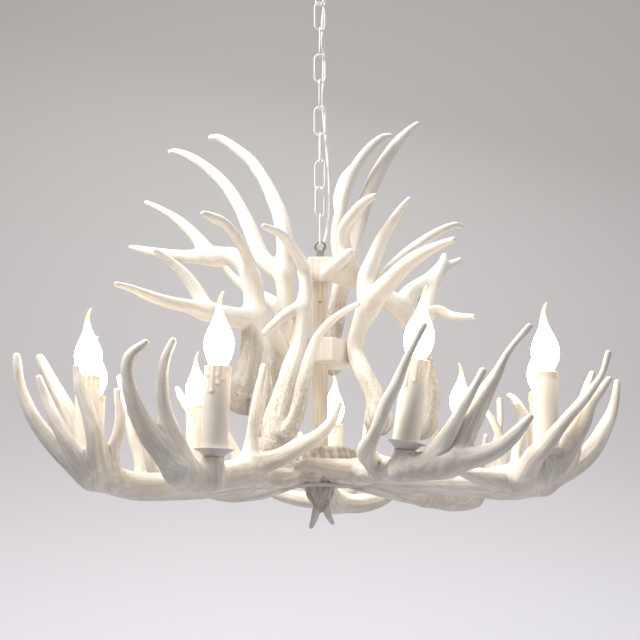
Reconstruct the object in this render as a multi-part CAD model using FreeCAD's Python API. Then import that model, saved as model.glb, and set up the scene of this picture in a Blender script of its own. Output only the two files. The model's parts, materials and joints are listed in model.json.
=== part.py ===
import FreeCAD, Part
import math
import os

V = FreeCAD.Vector

# ---------------------------------------------------------------- driving dimensions (mm)
# The frame: +Z up, the viewer stands on the -Y side, the origin is the ceiling face at the axis.
# Antler and candle points are written from the lamp level, the height of the drip pans.
BODY_WIDTH = 860.0          # the antlers' spread, tip to tip
DRAWN_WIDTH = 860.0         # the spread at which the branch points below were chosen
SPREAD = BODY_WIDTH / DRAWN_WIDTH

CHAIN_LINKS = 11
LINK_WIRE = 3.0             # wire diameter
LINK_LENGTH = 47.5          # outside length
LINK_WIDTH = 19.0           # outside width
LINK_GAP = 0.2              # air between two links as drawn

CANOPY_RADIUS = 55.0
CANOPY_HEIGHT = 32.0
CANOPY_WALL = 2.0
STRAP_LENGTH = 92.0
STRAP_WIDTH = 16.0
STRAP_THICK = 3.0
STRAP_SCREW_SPACING = 70.0
STRAP_SCREW_RADIUS = 2.5

EYE_SHANK_RADIUS = 5.0
EYE_RING_RADIUS = 9.0       # to the centre of the ring's wire
EYE_WIRE_RADIUS = 2.5
COLLAR_RADIUS = 10.0
COLLAR_HEIGHT = 8.0

LOOP_RING_RADIUS = 7.0
LOOP_WIRE_RADIUS = 2.0
LOOP_BLOCK = 11.0

CAP_SIZE = 34.0
CAP_TOP = 291.0             # heights over the lamp level
CAP_HEIGHT = 35.0
COLUMN_SIZE = 22.0
COLUMN_WALL = 1.8
BLOCK_APOTHEM = 45.0
BLOCK_TOP = 169.0
BLOCK_HEIGHT = 33.0
BLOCK_TURN = -10.0          # azimuth of the first flat, degrees from the front

HUB_RADIUS = 52.0
HUB_TOP = 19.0
HUB_HEIGHT = 49.0
HUB_WALL = 8.0
HUB_ROOF = 6.0
HUB_BITE = 8.0              # how far a lower beam is drawn inside the rim before it is cut to it
COVER_THICK = 4.0
ROD_RADIUS = 4.0
NUT_RADIUS = 7.5
NUT_HEIGHT = 8.0

FINIAL_RADIUS = 20.0
FINIAL_LENGTH = 55.0

SLEEVE_RADIUS = 15.5
SLEEVE_WALL = 1.6
SLEEVE_HEIGHT = 97.0
PAN_RADIUS = 23.5
PAN_DROP = 7.0              # from the pan's floor down to the antler's seat
PAN_THICK = 1.5
NIPPLE_RADIUS = 5.0
NIPPLE_BORE = 3.2
NIPPLE_DEPTH = 16.0         # how far the nipple goes into the antler
BULB_CAP_RADIUS = 7.0
SOCKET_CLEARANCE = 0.2
SOCKET_WALL = 4.3
BULB_RADIUS = 17.5
BULB_LENGTH = 90.0          # above the sleeve
BULB_WALL = 1.2
SOCKET_RADIUS = BULB_CAP_RADIUS + SOCKET_CLEARANCE
HOLDER_RADIUS = SOCKET_RADIUS + SOCKET_WALL

CORD_RADIUS = 2.5
TERMINAL_HEIGHT = 13.0
SCREW_RADIUS = 3.0
SCREW_HEAD_RADIUS = 5.0
SCREW_HEAD_HEIGHT = 4.0

# The chain's length sets how far the lamp level hangs below the ceiling.
LINK_PITCH = LINK_LENGTH - 2 * LINK_WIRE - LINK_GAP
LOOP_TOP_WIRE = CAP_TOP + LOOP_BLOCK + 1.0 + 2 * LOOP_RING_RADIUS
CHAIN_FOOT = LOOP_TOP_WIRE - LOOP_WIRE_RADIUS - LINK_GAP - LINK_WIRE / 2
CHAIN_HEAD = CHAIN_FOOT + (CHAIN_LINKS - 1) * LINK_PITCH + LINK_LENGTH - LINK_WIRE
EYE_BOTTOM_WIRE = CHAIN_HEAD - LINK_WIRE / 2 - LINK_GAP - EYE_WIRE_RADIUS
EYE_CENTRE = EYE_BOTTOM_WIRE + EYE_RING_RADIUS
SHANK_FOOT = EYE_CENTRE + EYE_RING_RADIUS
CEILING = SHANK_FOOT + 3.0 + COLLAR_HEIGHT + CANOPY_HEIGHT
LEVEL = -CEILING

# The cord beside the chain: where it passes (x, y, height over the lamp level). Its two lengths
# meet in a clip on the chain, and it enters the cap beside the loop.
CORD_CANOPY_X = 22.0
CORD_HOLE_CLEARANCE = 0.6   # round the cord where it leaves the canopy
CORD_BORE = (2.0, ROD_RADIUS + CORD_RADIUS - 0.1)
CORD_CLIP = (10.0, 8.0, 740.0)
CLIP_HEIGHT = 7.0
CORD_UPPER = [(CORD_CANOPY_X, 0, CEILING - STRAP_THICK - TERMINAL_HEIGHT), (CORD_CANOPY_X, 0, CEILING - 36),
              (17.6, 2.9, CEILING - 56), (12, 6.7, CEILING - 71), (10, 8, 747.4), CORD_CLIP]
CORD_LOWER = [CORD_CLIP, (10, 8, 731), (9.5, 9.5, 716), (6, 12.5, 686), (2.5, 13.3, 646),
              (6.5, 12, 606), (5, 13.4, 566), (4.5, 13, 526), (8, 11, 486), (11.5, 8, 446),
              (14.5, 6, 406), (14, 7, 366), (11, 8.7, 338), (6.5, 9.3, 318), (3, 7.2, 306),
              (*CORD_BORE, 297), (*CORD_BORE, 288)]

# How far each link is turned about the vertical, from the lamp up; the chain is a little twisted.
LINK_TURNS = (90, 38, -28, -85, -5, 85, 5, 90, 20, -40, 90)

# ---------------------------------------------------------------- the lights
# azimuth from the front, distance from the axis, height of the pan over the lamp level,
# lean to the right in degrees, turn of the bulb's bent tip in degrees
LIGHTS = {
    1: (-61.5, 335.0, 1.0, -1.0, 0.0),
    2: (-21.5, 328.0, -8.0, 1.7, 30.0),
    3: (17.1, 329.0, -1.0, 8.0, 60.0),
    4: (55.7, 338.0, 2.0, 1.5, 10.0),
    5: (99.1, 324.0, 8.0, 0.0, 0.0),
    6: (137.0, 334.0, -8.0, 0.0, 140.0),
    7: (176.0, 334.0, -11.0, 0.0, 160.0),
    8: (-142.2, 330.0, 13.0, 0.0, 20.0),
    9: (-100.3, 335.0, 4.0, 0.0, 40.0),
}

# ---------------------------------------------------------------- the antlers
# Each antler is a list of branches, the beam first. A branch is a list of points
# (x, y, height over the lamp level, radius), and the last point is its tip.
LOWER_ANTLERS = {
    1: [
        [(-38, -23, -12, 14), (-114, -65, -28, 15), (-176, -100, -35, 16), (-230, -132, -38, 16),
         (-268, -157, -30, 16), (-292, -168, -18, 13)],
        [(-287, -168, -21, 14), (-309, -174, -10, 13), (-328, -176, 6, 11.5), (-347, -178, 27, 9.6),
         (-364, -180, 53, 8), (-377, -180, 84, 6.4), (-381, -180, 107, 5), (-383, -180, 121, 3.2)],
        [(-278, -156, -24, 11), (-300, -129, -8, 11.5), (-311, -127, 14, 11.5),
         (-319, -128, 34, 11), (-330, -128, 61, 10.4), (-343, -128, 84, 8.8), (-356, -128, 107, 7.2),
         (-366, -128, 127, 4.4)],
        [(-290, -178, -20, 11), (-306, -192, 4, 9.6), (-327, -193, 38, 8.4), (-341, -190, 67, 5.6),
         (-351, -190, 92, 3)],
        [(-275, -166, -26, 13), (-275, -188, -5, 12.5), (-278, -200, 23, 11), (-285, -204, 48, 9),
         (-296, -206, 77, 6.6), (-300, -206, 95, 4), (-302, -206, 103, 3.2)],
        [(-262, -156, -34, 12), (-258, -176, -3, 8.6), (-251, -182, 23, 7.4), (-249, -184, 46, 6),
         (-252, -184, 62, 4), (-254, -184, 76, 3)],
    ],
    2: [
        [(-19, -41, -14, 14), (-58, -120, -28, 15), (-88, -200, -25, 17), (-116, -270, -33, 14),
         (-137, -312, -38, 14), (-159, -335, -33, 13)],
        [(-147, -330, -33, 13), (-163, -338, 5, 11), (-172, -342, 33, 7.8), (-176, -344, 62, 6.8),
         (-174, -342, 90, 5.2), (-166, -338, 113, 3.2)],
        [(-157, -333, -33, 13), (-187, -348, 5, 12), (-204, -354, 37, 9.5), (-213, -356, 68, 7.2),
         (-212, -354, 92, 6.5), (-195, -350, 109, 3.2)],
        [(-86, -203, -18, 11), (-83, -205, 19, 7.7), (-80, -210, 46, 6.5), (-76, -214, 70, 4.8),
         (-69, -220, 102, 3.2)],
        [(-83, -201, -18, 13), (-49, -196, -7, 11.5), (-26, -192, 6, 11), (-4, -190, 18, 9),
         (14, -190, 37, 6), (24, -190, 59, 3.2)],
    ],
    3: [
        [(19, -40, -16, 14), (51, -140, -22, 16), (77, -250, -26, 14), (92, -310, -28, 13),
         (117, -325, -28, 12), (143, -328, -24, 12)],
        [(51, -150, -22, 14), (25, -165, -20, 13), (2, -175, -17, 10), (-14, -180, -14, 7),
         (-28, -184, -20, 3.2)],
        [(70, -240, -24, 12), (53, -290, -8, 11), (62, -330, 11, 7), (74, -340, 42, 7.3),
         (85, -345, 63, 6.6), (95, -347, 87, 4.8), (105, -348, 107, 3.6), (117, -350, 129, 3)],
        [(117, -322, -27, 12), (134, -330, -4, 9.5), (150, -334, 22, 6.6), (166, -336, 49, 5),
         (177, -336, 68, 3.4), (183, -336, 79, 3.2)],
        [(134, -326, -25, 12), (167, -330, -19, 11), (186, -332, -13, 10.5), (202, -334, -5, 9),
         (217, -336, 8, 7), (234, -338, 27, 3.2)],
        [(141, -326, -24, 12), (155, -322, -7, 12), (171, -318, 23, 12), (183, -316, 48, 11),
         (200, -316, 76, 7), (216, -318, 105, 3.6), (240, -320, 133, 3)],
    ],
    4: [
        [(37, -24, -17, 13), (106, -80, -26, 14), (173, -125, -29, 14), (231, -165, -33, 15),
         (268, -186, -27, 15)],
        [(231, -165, -33, 13), (197, -205, -32, 10), (166, -240, -28, 3.2)],
        [(253, -183, -29, 13), (259, -212, -9, 12), (269, -222, 2, 11), (285, -226, 21, 8.5),
         (302, -228, 41, 7), (323, -230, 64, 5.5), (342, -232, 90, 3.2), (351, -234, 116, 3)],
        [(268, -186, -28, 14), (288, -172, -24, 13), (306, -168, -5, 11.5), (319, -172, 17, 10.5),
         (331, -174, 37, 9), (340, -172, 60, 7.5), (355, -170, 79, 5), (366, -170, 93, 3.2)],
        [(300, -168, -12, 10), (324, -155, 37, 8), (342, -140, 79, 5.5), (353, -135, 105, 3.2)],
        [(244, -174, -31, 9), (249, -150, 3, 6), (258, -146, 25, 4.5), (265, -145, 44, 3)],
    ],
    5: [
        [(43, 7, -13, 14), (127, 20, -26, 15), (205, 32, -31, 16), (279, 46, -33, 16),
         (323, 54, -25, 14)],
        [(323, 54, -25, 14), (368, 58, -1, 14.5), (394, 60, 23, 13.5), (413, 62, 51, 11),
         (426, 62, 77, 8), (433, 62, 102, 5.5), (436, 62, 121, 3.2)],
        [(279, 50, -33, 12), (306, 79, -3, 10), (313, 88, 31, 8), (306, 92, 69, 7.5),
         (290, 92, 96, 6), (282, 92, 104, 4)],
        [(256, 42, -34, 11), (263, 60, 0, 9), (283, 68, 37, 7), (298, 68, 69, 5), (292, 68, 90, 3.2)],
        [(316, 48, -29, 11), (353, 24, -3, 9), (366, 22, 33, 6), (370, 20, 68, 3.2)],
    ],
    6: [
        [(27, 34, -16, 14), (96, 110, -30, 15), (161, 175, -40, 16), (213, 228, -45, 16),
         (246, 248, -40, 13)],
        [(161, 175, -40, 12), (169, 170, 0, 9), (179, 166, 38, 6), (175, 164, 78, 3.2)],
        [(246, 248, -40, 12), (274, 258, -8, 10), (288, 262, 30, 8), (293, 264, 57, 7),
         (285, 264, 80, 6), (273, 264, 100, 3.2)],
        [(233, 247, -40, 11), (260, 276, -10, 9), (283, 286, 31, 7), (297, 288, 81, 5),
         (298, 288, 122, 4)],
        [(205, 220, -44, 11), (241, 212, -13, 9), (257, 208, 26, 6), (262, 206, 55, 3.2)],
    ],
    7: [
        [(2, 43, -19, 14), (12, 150, -34, 15), (22, 240, -46, 17), (26, 310, -38, 15),
         (34, 340, -24, 12)],
        [(22, 240, -44, 14), (-32, 260, -41, 12), (-81, 270, -25, 10), (-111, 274, 6, 6),
         (-121, 274, 35, 3.2)],
        [(22, 250, -46, 15), (65, 268, -48, 15), (104, 276, -36, 13), (127, 280, -12, 9),
         (137, 282, 23, 5), (144, 282, 56, 3.2)],
        [(34, 330, -34, 12), (60, 346, -14, 10), (70, 354, 20, 8), (76, 358, 54, 5.5), (79, 358, 88, 3.2)],
        [(18, 322, -36, 12), (-20, 338, -16, 10), (-30, 350, 12, 8), (-34, 356, 44, 5),
         (-34, 356, 72, 3.2)],
    ],
    8: [
        [(-28, 34, -17, 14), (-87, 120, -31, 15), (-143, 195, -31, 17), (-193, 250, -20, 14),
         (-216, 272, -8, 12)],
        [(-214, 276, -10, 11), (-212, 301, 12, 9.5), (-200, 303, 42, 8.5), (-199, 300, 68, 8),
         (-213, 296, 98, 8), (-229, 294, 123, 7), (-238, 292, 141, 5)],
        [(-131, 185, -30, 12), (-125, 200, 2, 10), (-135, 206, 33, 8), (-149, 210, 65, 5),
         (-152, 210, 94, 3.2)],
        [(-214, 268, -10, 10), (-240, 262, 18, 8), (-253, 258, 53, 6), (-255, 256, 86, 3.2)],
        [(-87, 120, -30, 10), (-79, 150, -1, 8), (-89, 160, 30, 5), (-99, 162, 51, 3.2)],
    ],
    9: [
        [(-43, 9, -13, 14), (-127, 28, -30, 15), (-207, 45, -35, 16), (-273, 58, -33, 16),
         (-312, 60, -23, 14), (-330, 60, -16, 12)],
        [(-312, 66, -21, 12), (-340, 92, 9, 9), (-352, 104, 55, 7), (-361, 110, 101, 4),
         (-362, 110, 123, 3.2)],
        [(-259, 55, -33, 11), (-258, 55, 0, 9), (-271, 60, 36, 7.5), (-280, 68, 70, 6),
         (-292, 84, 107, 4.4), (-300, 96, 133, 3.2)],
        [(-228, 49, -33, 11), (-239, 30, -3, 8.5), (-247, 24, 26, 7), (-259, 20, 54, 5),
         (-273, 16, 75, 3.2)],
        [(-330, 60, -22, 12), (-362, 66, 0, 10.5), (-376, 72, 28, 8.5), (-386, 74, 60, 5),
         (-388, 74, 84, 3.2)],
    ],
}

UPPER_ANTLERS = {
    1: [
        [(-63, -104, 16, 15), (-59, -98, 48, 16), (-50, -84, 82, 13.5), (-40, -64, 125, 12),
         (-31, -50, 155, 11.5), (-24, -40, 206, 10.5), (-20, -27, 246, 9.5), (-23, -28, 272, 9),
         (-37, -58, 291, 7.5), (-53, -98, 302, 6), (-74, -142, 301, 3.2)],
        [(-56, -104, 26, 13), (-39, -116, 36, 10.5), (-27, -126, 65, 9.4), (-22, -130, 93, 8.6),
         (-14, -130, 126, 7.4), (-4, -130, 153, 6), (13, -138, 173, 4.8), (31, -148, 185, 3.4),
         (48, -160, 192, 2.6)],
        [(-25, -38, 213, 8), (-47, -52, 201, 7.5), (-74, -74, 171, 5)],
    ],
    2: [
        [(-110, -22, 91, 22), (-101, -24, 121, 17), (-95, -22, 162, 16), (-93, -18, 206, 15),
         (-95, -14, 243, 14.5), (-105, -8, 276, 13.5), (-127, 5, 296, 13.5), (-158, 19, 301, 12.5),
         (-179, 35, 329, 9.6), (-209, 50, 361, 7.6), (-237, 63, 382, 5.4), (-264, 75, 398, 3.2)],
        [(-152, 16, 300, 11), (-182, 25, 301, 9.8), (-210, 42, 307, 9), (-239, 60, 315, 7.8),
         (-265, 78, 324, 5.8), (-289, 95, 333, 3.2)],
        [(-95, -20, 201, 12), (-119, -36, 199, 14), (-159, -56, 204, 12), (-183, -72, 208, 9.4),
         (-206, -88, 210, 8.6), (-231, -105, 216, 7), (-252, -121, 222, 4.4), (-268, -135, 224, 3)],
        [(-157, -54, 205, 10), (-170, -50, 231, 9.6), (-188, -52, 256, 8), (-208, -59, 274, 5.4),
         (-227, -70, 286, 3)],
        [(-97, -15, 252, 10), (-103, -36, 284, 8), (-115, -55, 307, 7.6), (-132, -73, 324, 7),
         (-148, -91, 328, 6), (-158, -105, 329, 3.5)],
        [(-98, -22, 108, 12), (-74, -16, 130, 12.5), (-58, -12, 153, 14), (-71, -14, 182, 12.5),
         (-91, -17, 208, 11)],
        [(-77, -38, 46, 14), (-77, -34, 78, 19), (-75, -28, 118, 18), (-76, -24, 158, 15), (-88, -20, 200, 12)],
        [(-125, -34, 92, 8), (-112, -28, 84, 14), (-96, -22, 78, 14)],
    ],
    3: [
        [(-80, 84, 81, 20), (-74, 64, 112, 14), (-60, 30, 152, 13.5), (-54, 34, 197, 12.5),
         (-50, 36, 240, 12.5), (-53, 38, 281, 12.5), (-52, 44, 324, 12.5), (-59, 54, 368, 12),
         (-72, 66, 405, 10.4), (-87, 76, 437, 9.2), (-108, 87, 470, 8.4), (-137, 98, 497, 7),
         (-158, 107, 513, 5), (-172, 115, 517, 3.2)],
        [(-53, 39, 277, 12), (-83, 53, 303, 12), (-105, 74, 354, 11.4), (-121, 89, 391, 10),
         (-141, 103, 427, 9.4), (-171, 117, 462, 8.4), (-203, 130, 488, 7), (-228, 141, 502, 4.6),
         (-240, 150, 505, 3.2)],
        [(-52, 36, 220, 10), (-75, 66, 245, 9), (-106, 84, 264, 7), (-134, 96, 289, 5),
         (-150, 100, 312, 3.2)],
    ],
    4: [
        [(19, 66, 146, 14), (17, 58, 160, 14), (19, 52, 199, 12.5),
         (27, 46, 241, 12.5), (37, 42, 282, 12.5), (48, 46, 317, 12), (60, 58, 366, 11.4),
         (76, 72, 418, 11), (97, 84, 463, 10.4), (120, 95, 501, 8), (138, 105, 524, 5),
         (153, 112, 538, 3.2)],
        [(36, 42, 276, 11), (25, 39, 330, 9.4), (31, 42, 377, 8.6), (38, 48, 409, 8.6),
         (51, 54, 443, 8.4), (73, 60, 477, 7.6), (94, 68, 499, 5), (107, 75, 505, 3.2)],
        [(46, 46, 309, 10), (35, 67, 361, 9), (28, 88, 407, 8), (37, 107, 445, 7), (50, 125, 470, 4)],
        [(22, 52, 210, 10), (-3, 80, 239, 8), (-21, 96, 267, 6), (-31, 104, 297, 3.2)],
    ],
    5: [
        [(79, -76, 50, 20), (76, -66, 78, 14), (66, -52, 106, 12.5), (52, -30, 140, 12),
         (50, -28, 164, 12), (60, -42, 196, 13), (76, -60, 221, 13.5), (95, -80, 240, 12.5),
         (117, -107, 258, 10.6), (139, -134, 268, 8), (158, -160, 272, 5), (171, -183, 272, 3.2)],
        [(66, -50, 207, 12), (64, -48, 249, 12), (73, -52, 274, 10.6), (86, -62, 304, 9),
         (100, -73, 326, 7), (113, -85, 344, 4.2), (122, -95, 352, 3)],
        [(75, -58, 222, 10), (91, -38, 257, 8.6), (117, -31, 287, 7.6), (142, -27, 308, 6.8),
         (171, -23, 327, 5.8), (192, -18, 337, 4), (202, -10, 338, 3.2)],
    ],
    6: [
        [(140, -10, 55, 24), (148, -10, 89, 20), (147, -6, 129, 15), (141, 0, 166, 14),
         (132, 4, 194, 14), (115, 6, 218, 14), (92, 4, 237, 14.5), (66, 0, 256, 16),
         (43, -6, 265, 16), (22, -8, 269, 14.5)],
        [(115, 6, 222, 12), (131, 24, 247, 12), (160, 52, 272, 10), (189, 83, 298, 7),
         (215, 115, 318, 3.2)],
        [(139, 2, 186, 11), (150, 16, 208, 11.5), (158, 36, 239, 11.5), (173, 57, 278, 8.4),
         (184, 75, 304, 5), (189, 90, 319, 3.2)],
        [(149, 12, 208, 9), (167, -4, 216, 7.4), (183, -22, 205, 6.2), (198, -40, 199, 4.4),
         (210, -60, 195, 3)],
        [(48, -6, 264, 10), (36, -20, 297, 10), (34, -40, 325, 9), (48, -63, 342, 8),
         (62, -85, 352, 6), (74, -105, 354, 3.2)],
        [(12, -22, 267, 9), (22, -32, 275, 9), (33, -38, 284, 8), (42, -41, 291, 4.5)],
    ],
}

# where each upper antler is screwed: at the hexagonal block or at the top cap
BLOCK_STUD_HEIGHT = 152.0
BLOCK_STUD_SPOTS = ((1, -31, -50), (2, -58, -12), (3, -60, 30), (4, 16, 55), (5, 50, -30))
CAP_STUD_Y = -6.0
CAP_STUD_HEIGHT = 268.0
CAP_STUD_LENGTH = 24.0
STUD_BITE = 14.0            # how deep a stud sits in the block
STUD_LENGTH = 30.0


# how tall the boss under each pan is, from inside the beam to the seat
SEAT_BOSS_HEIGHTS = {1: 20, 2: 24, 3: 20, 4: 22, 5: 26, 6: 26, 7: 20, 8: 24, 9: 16}


# ---------------------------------------------------------------- helpers
def on_axis(azimuth, distance, height=0.0):
    """A point at an azimuth (degrees from the front, to the viewer's right)."""
    angle = math.radians(azimuth)
    return V(distance * math.sin(angle), -distance * math.cos(angle), height)


def smooth(points, steps=3):
    """Points of a Catmull-Rom curve through the given 4-number points."""
    first = [2 * a - b for a, b in zip(points[0], points[1])]
    last = [2 * a - b for a, b in zip(points[-1], points[-2])]
    full = [first] + [list(p) for p in points] + [last]
    curve = []
    for i in range(1, len(full) - 2):
        before, start, end, after = full[i - 1:i + 3]
        for k in range(steps):
            t = k / steps
            curve.append([0.5 * (2 * b + (c - a) * t + (2 * a - 5 * b + 4 * c - d) * t * t
                                 + (3 * b - a - 3 * c + d) * t ** 3)
                          for a, b, c, d in zip(before, start, end, after)])
    curve.append(list(points[-1]))
    return curve


def limb(points, steps=3):
    """A round limb lofted through circles along a smooth curve."""
    curve = smooth(points, steps)
    centres = [V(*p[:3]) for p in curve]
    wires = []
    side = None
    for i, centre in enumerate(centres):
        ahead = centres[min(i + 1, len(centres) - 1)] - centres[max(i - 1, 0)]
        ahead.normalize()
        if side is None:
            side = ahead.cross(V(0, 0, 1) if abs(ahead.z) < 0.9 else V(1, 0, 0))
        side = side - ahead * side.dot(ahead)
        side.normalize()
        across = ahead.cross(side)
        place = FreeCAD.Matrix(side.x, across.x, ahead.x, centre.x,
                               side.y, across.y, ahead.y, centre.y,
                               side.z, across.z, ahead.z, centre.z,
                               0, 0, 0, 1)
        circle = Part.makeCircle(max(curve[i][3], 1.2))
        circle.transformShape(place)
        wires.append(Part.Wire([circle]))
    return Part.makeLoft(wires, True, False)


def scaled(branch):
    """A branch's points at the lamp's real spread and height below the ceiling."""
    return [(x * SPREAD, y * SPREAD, z + LEVEL, r) for x, y, z, r in branch]


def rooted(branch):
    """A lower beam whose inner end always starts inside the hub's rim."""
    x, y, z, r = branch[0]
    share = (HUB_RADIUS - HUB_BITE) / math.hypot(x, y)
    return [(x * share, y * share, z + LEVEL, r)] + scaled(branch[1:])


def revolve(profile):
    """A solid turned about Z from a closed outline of (radius, height) points."""
    corners = [V(r, 0, z) for r, z in profile + profile[:1]]
    face = Part.Face(Part.makePolygon(corners))
    return face.revolve(V(0, 0, 0), V(0, 0, 1), 360)


def box(size_x, size_y, low, high):
    """A box centred on the axis between two heights."""
    return Part.makeBox(size_x, size_y, high - low, V(-size_x / 2, -size_y / 2, low))


def post(radius, low, high, x=0.0, y=0.0):
    """An upright round bar between two heights."""
    return Part.makeCylinder(radius, high - low, V(x, y, low))


def hexagon_prism(apothem, low, high, turn):
    """A hexagonal prism whose first flat faces the given azimuth."""
    corners = [on_axis(turn + 30 + 60 * k, apothem / math.cos(math.radians(30)), low) for k in range(7)]
    return Part.Face(Part.makePolygon(corners)).extrude(V(0, 0, high - low))


def export(name, shape):
    shape.exportStep("parts/%s.step" % name)


# ---------------------------------------------------------------- the lights' pieces, in their own frame
def light_place(number):
    """Placement that carries a light's own frame (pan floor at zero) to its spot."""
    azimuth, distance, height, lean, _ = LIGHTS[number]
    spot = on_axis(azimuth, distance * SPREAD, height + LEVEL)
    return FreeCAD.Placement(spot, FreeCAD.Rotation(V(0, 1, 0), lean))


def placed(shape, place):
    moved = shape.copy()
    moved.Placement = place.multiply(moved.Placement)
    return moved


def pan():
    """A shallow drip pan whose floor lies at zero."""
    rim = PAN_RADIUS
    profile = [(NIPPLE_RADIUS, 0), (SLEEVE_RADIUS + 1, 0), (rim - 1, 2.2), (rim, 2.2), (rim, 1.4),
               (SLEEVE_RADIUS + 1, -PAN_THICK), (11, -PAN_DROP), (NIPPLE_RADIUS, -PAN_DROP)]
    return revolve(profile)


def nipple():
    """The hollow threaded tube that holds the pan and the lamp holder on the antler."""
    tube = post(NIPPLE_RADIUS, -PAN_DROP - NIPPLE_DEPTH, 6)
    return tube.cut(post(NIPPLE_BORE, -PAN_DROP - NIPPLE_DEPTH, 6))


def holder():
    """A tall lamp holder: foot plate, stem and socket cup."""
    foot = SLEEVE_RADIUS - SLEEVE_WALL - 0.1
    neck = NIPPLE_RADIUS + 2
    cup_floor, cup_top = SLEEVE_HEIGHT - 28, SLEEVE_HEIGHT - 4
    profile = [(NIPPLE_RADIUS, 0), (foot, 0), (foot, 3), (neck, 5), (neck, cup_floor - 5),
               (HOLDER_RADIUS, cup_floor), (HOLDER_RADIUS, cup_top), (SOCKET_RADIUS, cup_top),
               (SOCKET_RADIUS, cup_floor + 3), (NIPPLE_BORE, cup_floor + 3), (NIPPLE_BORE, 6),
               (NIPPLE_RADIUS, 6)]
    return revolve(profile)


def sleeve():
    """The candle tube, closed at the top but for the bulb's neck."""
    inner = SLEEVE_RADIUS - SLEEVE_WALL
    profile = [(inner, 0), (SLEEVE_RADIUS, 0), (SLEEVE_RADIUS, SLEEVE_HEIGHT - 1.5),
               (SLEEVE_RADIUS - 1.5, SLEEVE_HEIGHT), (10.5, SLEEVE_HEIGHT),
               (10.5, SLEEVE_HEIGHT - 2), (inner, SLEEVE_HEIGHT - 2)]
    return revolve(profile)


def bulb_cap():
    """The bulb's metal screw cap with its contact button."""
    foot, top = SLEEVE_HEIGHT - 24, SLEEVE_HEIGHT - 1
    profile = [(0, foot), (3, foot), (BULB_CAP_RADIUS - 1, foot + 2.5), (BULB_CAP_RADIUS, foot + 4),
               (BULB_CAP_RADIUS, top), (0, top)]
    return revolve(profile)


def bulb_glass():
    """The flame-shaped glass with a bent tip."""
    top = SLEEVE_HEIGHT - 1
    length = BULB_LENGTH
    # share of the length, radius as a share of the largest, sideways bend in mm
    stations = ((0.0, 0.46, 0), (0.06, 0.56, 0), (0.16, 0.85, 0), (0.27, 0.99, 0), (0.36, 0.97, 0),
                (0.47, 0.80, -0.3), (0.58, 0.53, -0.8), (0.69, 0.31, -1.6), (0.79, 0.20, -2.2),
                (0.88, 0.15, -1.8), (0.95, 0.115, 0), (1.0, 0.08, 2.2))

    def body(shrink, low, high):
        wires = []
        for share, width, bend in stations:
            if low <= share <= high:
                ring = Part.makeCircle(width * BULB_RADIUS - shrink, V(bend, 0, top + share * length))
                wires.append(Part.Wire([ring]))
        return Part.makeLoft(wires, True, False)

    return body(0, 0, 1).cut(body(BULB_WALL, 0, 0.7))


# ---------------------------------------------------------------- screws and studs
def hub_screw(azimuth, height):
    """A screw from inside the hub into a lower antler."""
    inner = HUB_RADIUS - HUB_WALL - SCREW_HEAD_HEIGHT + 1
    start = on_axis(azimuth, inner, height)
    outward = on_axis(azimuth, 1.0)
    head = Part.makeCylinder(SCREW_HEAD_RADIUS, SCREW_HEAD_HEIGHT, start, outward)
    shank = Part.makeCylinder(SCREW_RADIUS, HUB_WALL + 26, start, outward)
    return head.fuse(shank).removeSplitter()


def lower_antler(branches):
    """One lower antler: the beam from the hub and its tines fused into one solid."""
    return limb(rooted(branches[0])).fuse([limb(scaled(b)) for b in branches[1:]])


def upper_antler(branches):
    """One upper antler: the trunk and its tines fused into one solid."""
    return limb(scaled(branches[0])).fuse([limb(scaled(b)) for b in branches[1:]])


def seat_cutters(number):
    """What a light takes out of the antlers: pan, sleeve and bulb room, and the nipple's hole."""
    pan_room = post(PAN_RADIUS + 1.5, -PAN_DROP, 5)
    sleeve_room = post(SLEEVE_RADIUS + 2.5, 4, SLEEVE_HEIGHT + BULB_LENGTH)
    hole = post(NIPPLE_RADIUS, -PAN_DROP - NIPPLE_DEPTH, -PAN_DROP)
    return [placed(s, light_place(number)) for s in (pan_room, sleeve_room, hole)]


def seat_boss(number, floor):
    """The raised boss under a pan, from the beam up to the seat."""
    boss = Part.makeCone(13.5, 11.5, floor, V(0, 0, -PAN_DROP - floor))
    return placed(boss, light_place(number))


def half_ring(bend, wire, centre, turn):
    """Half of a round-wire ring in the XZ plane, starting on the +X side."""
    disc = Part.Face(Part.Wire([Part.makeCircle(wire, centre + V(bend, 0, 0), V(0, 0, 1))]))
    return disc.revolve(centre, V(0, -1, 0), turn)


def chain_link(index):
    """One link of the chain, counted from the lamp up."""
    wire = LINK_WIRE / 2
    bend = LINK_WIDTH / 2 - wire
    low = CHAIN_FOOT + index * LINK_PITCH + LEVEL
    foot, head = low + bend, low + LINK_LENGTH - LINK_WIRE - bend
    link = post(wire, foot, head, bend).fuse([
        post(wire, foot, head, -bend),
        half_ring(bend, wire, V(0, 0, head), 180),
        half_ring(bend, wire, V(0, 0, foot), -180),
    ]).removeSplitter()
    link.rotate(V(0, 0, 0), V(0, 0, 1), LINK_TURNS[index % len(LINK_TURNS)])
    return link


def full_ring(radius, wire, centre):
    """A round-wire ring in the XZ plane."""
    return Part.makeTorus(radius, wire, centre, V(0, 1, 0))


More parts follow.
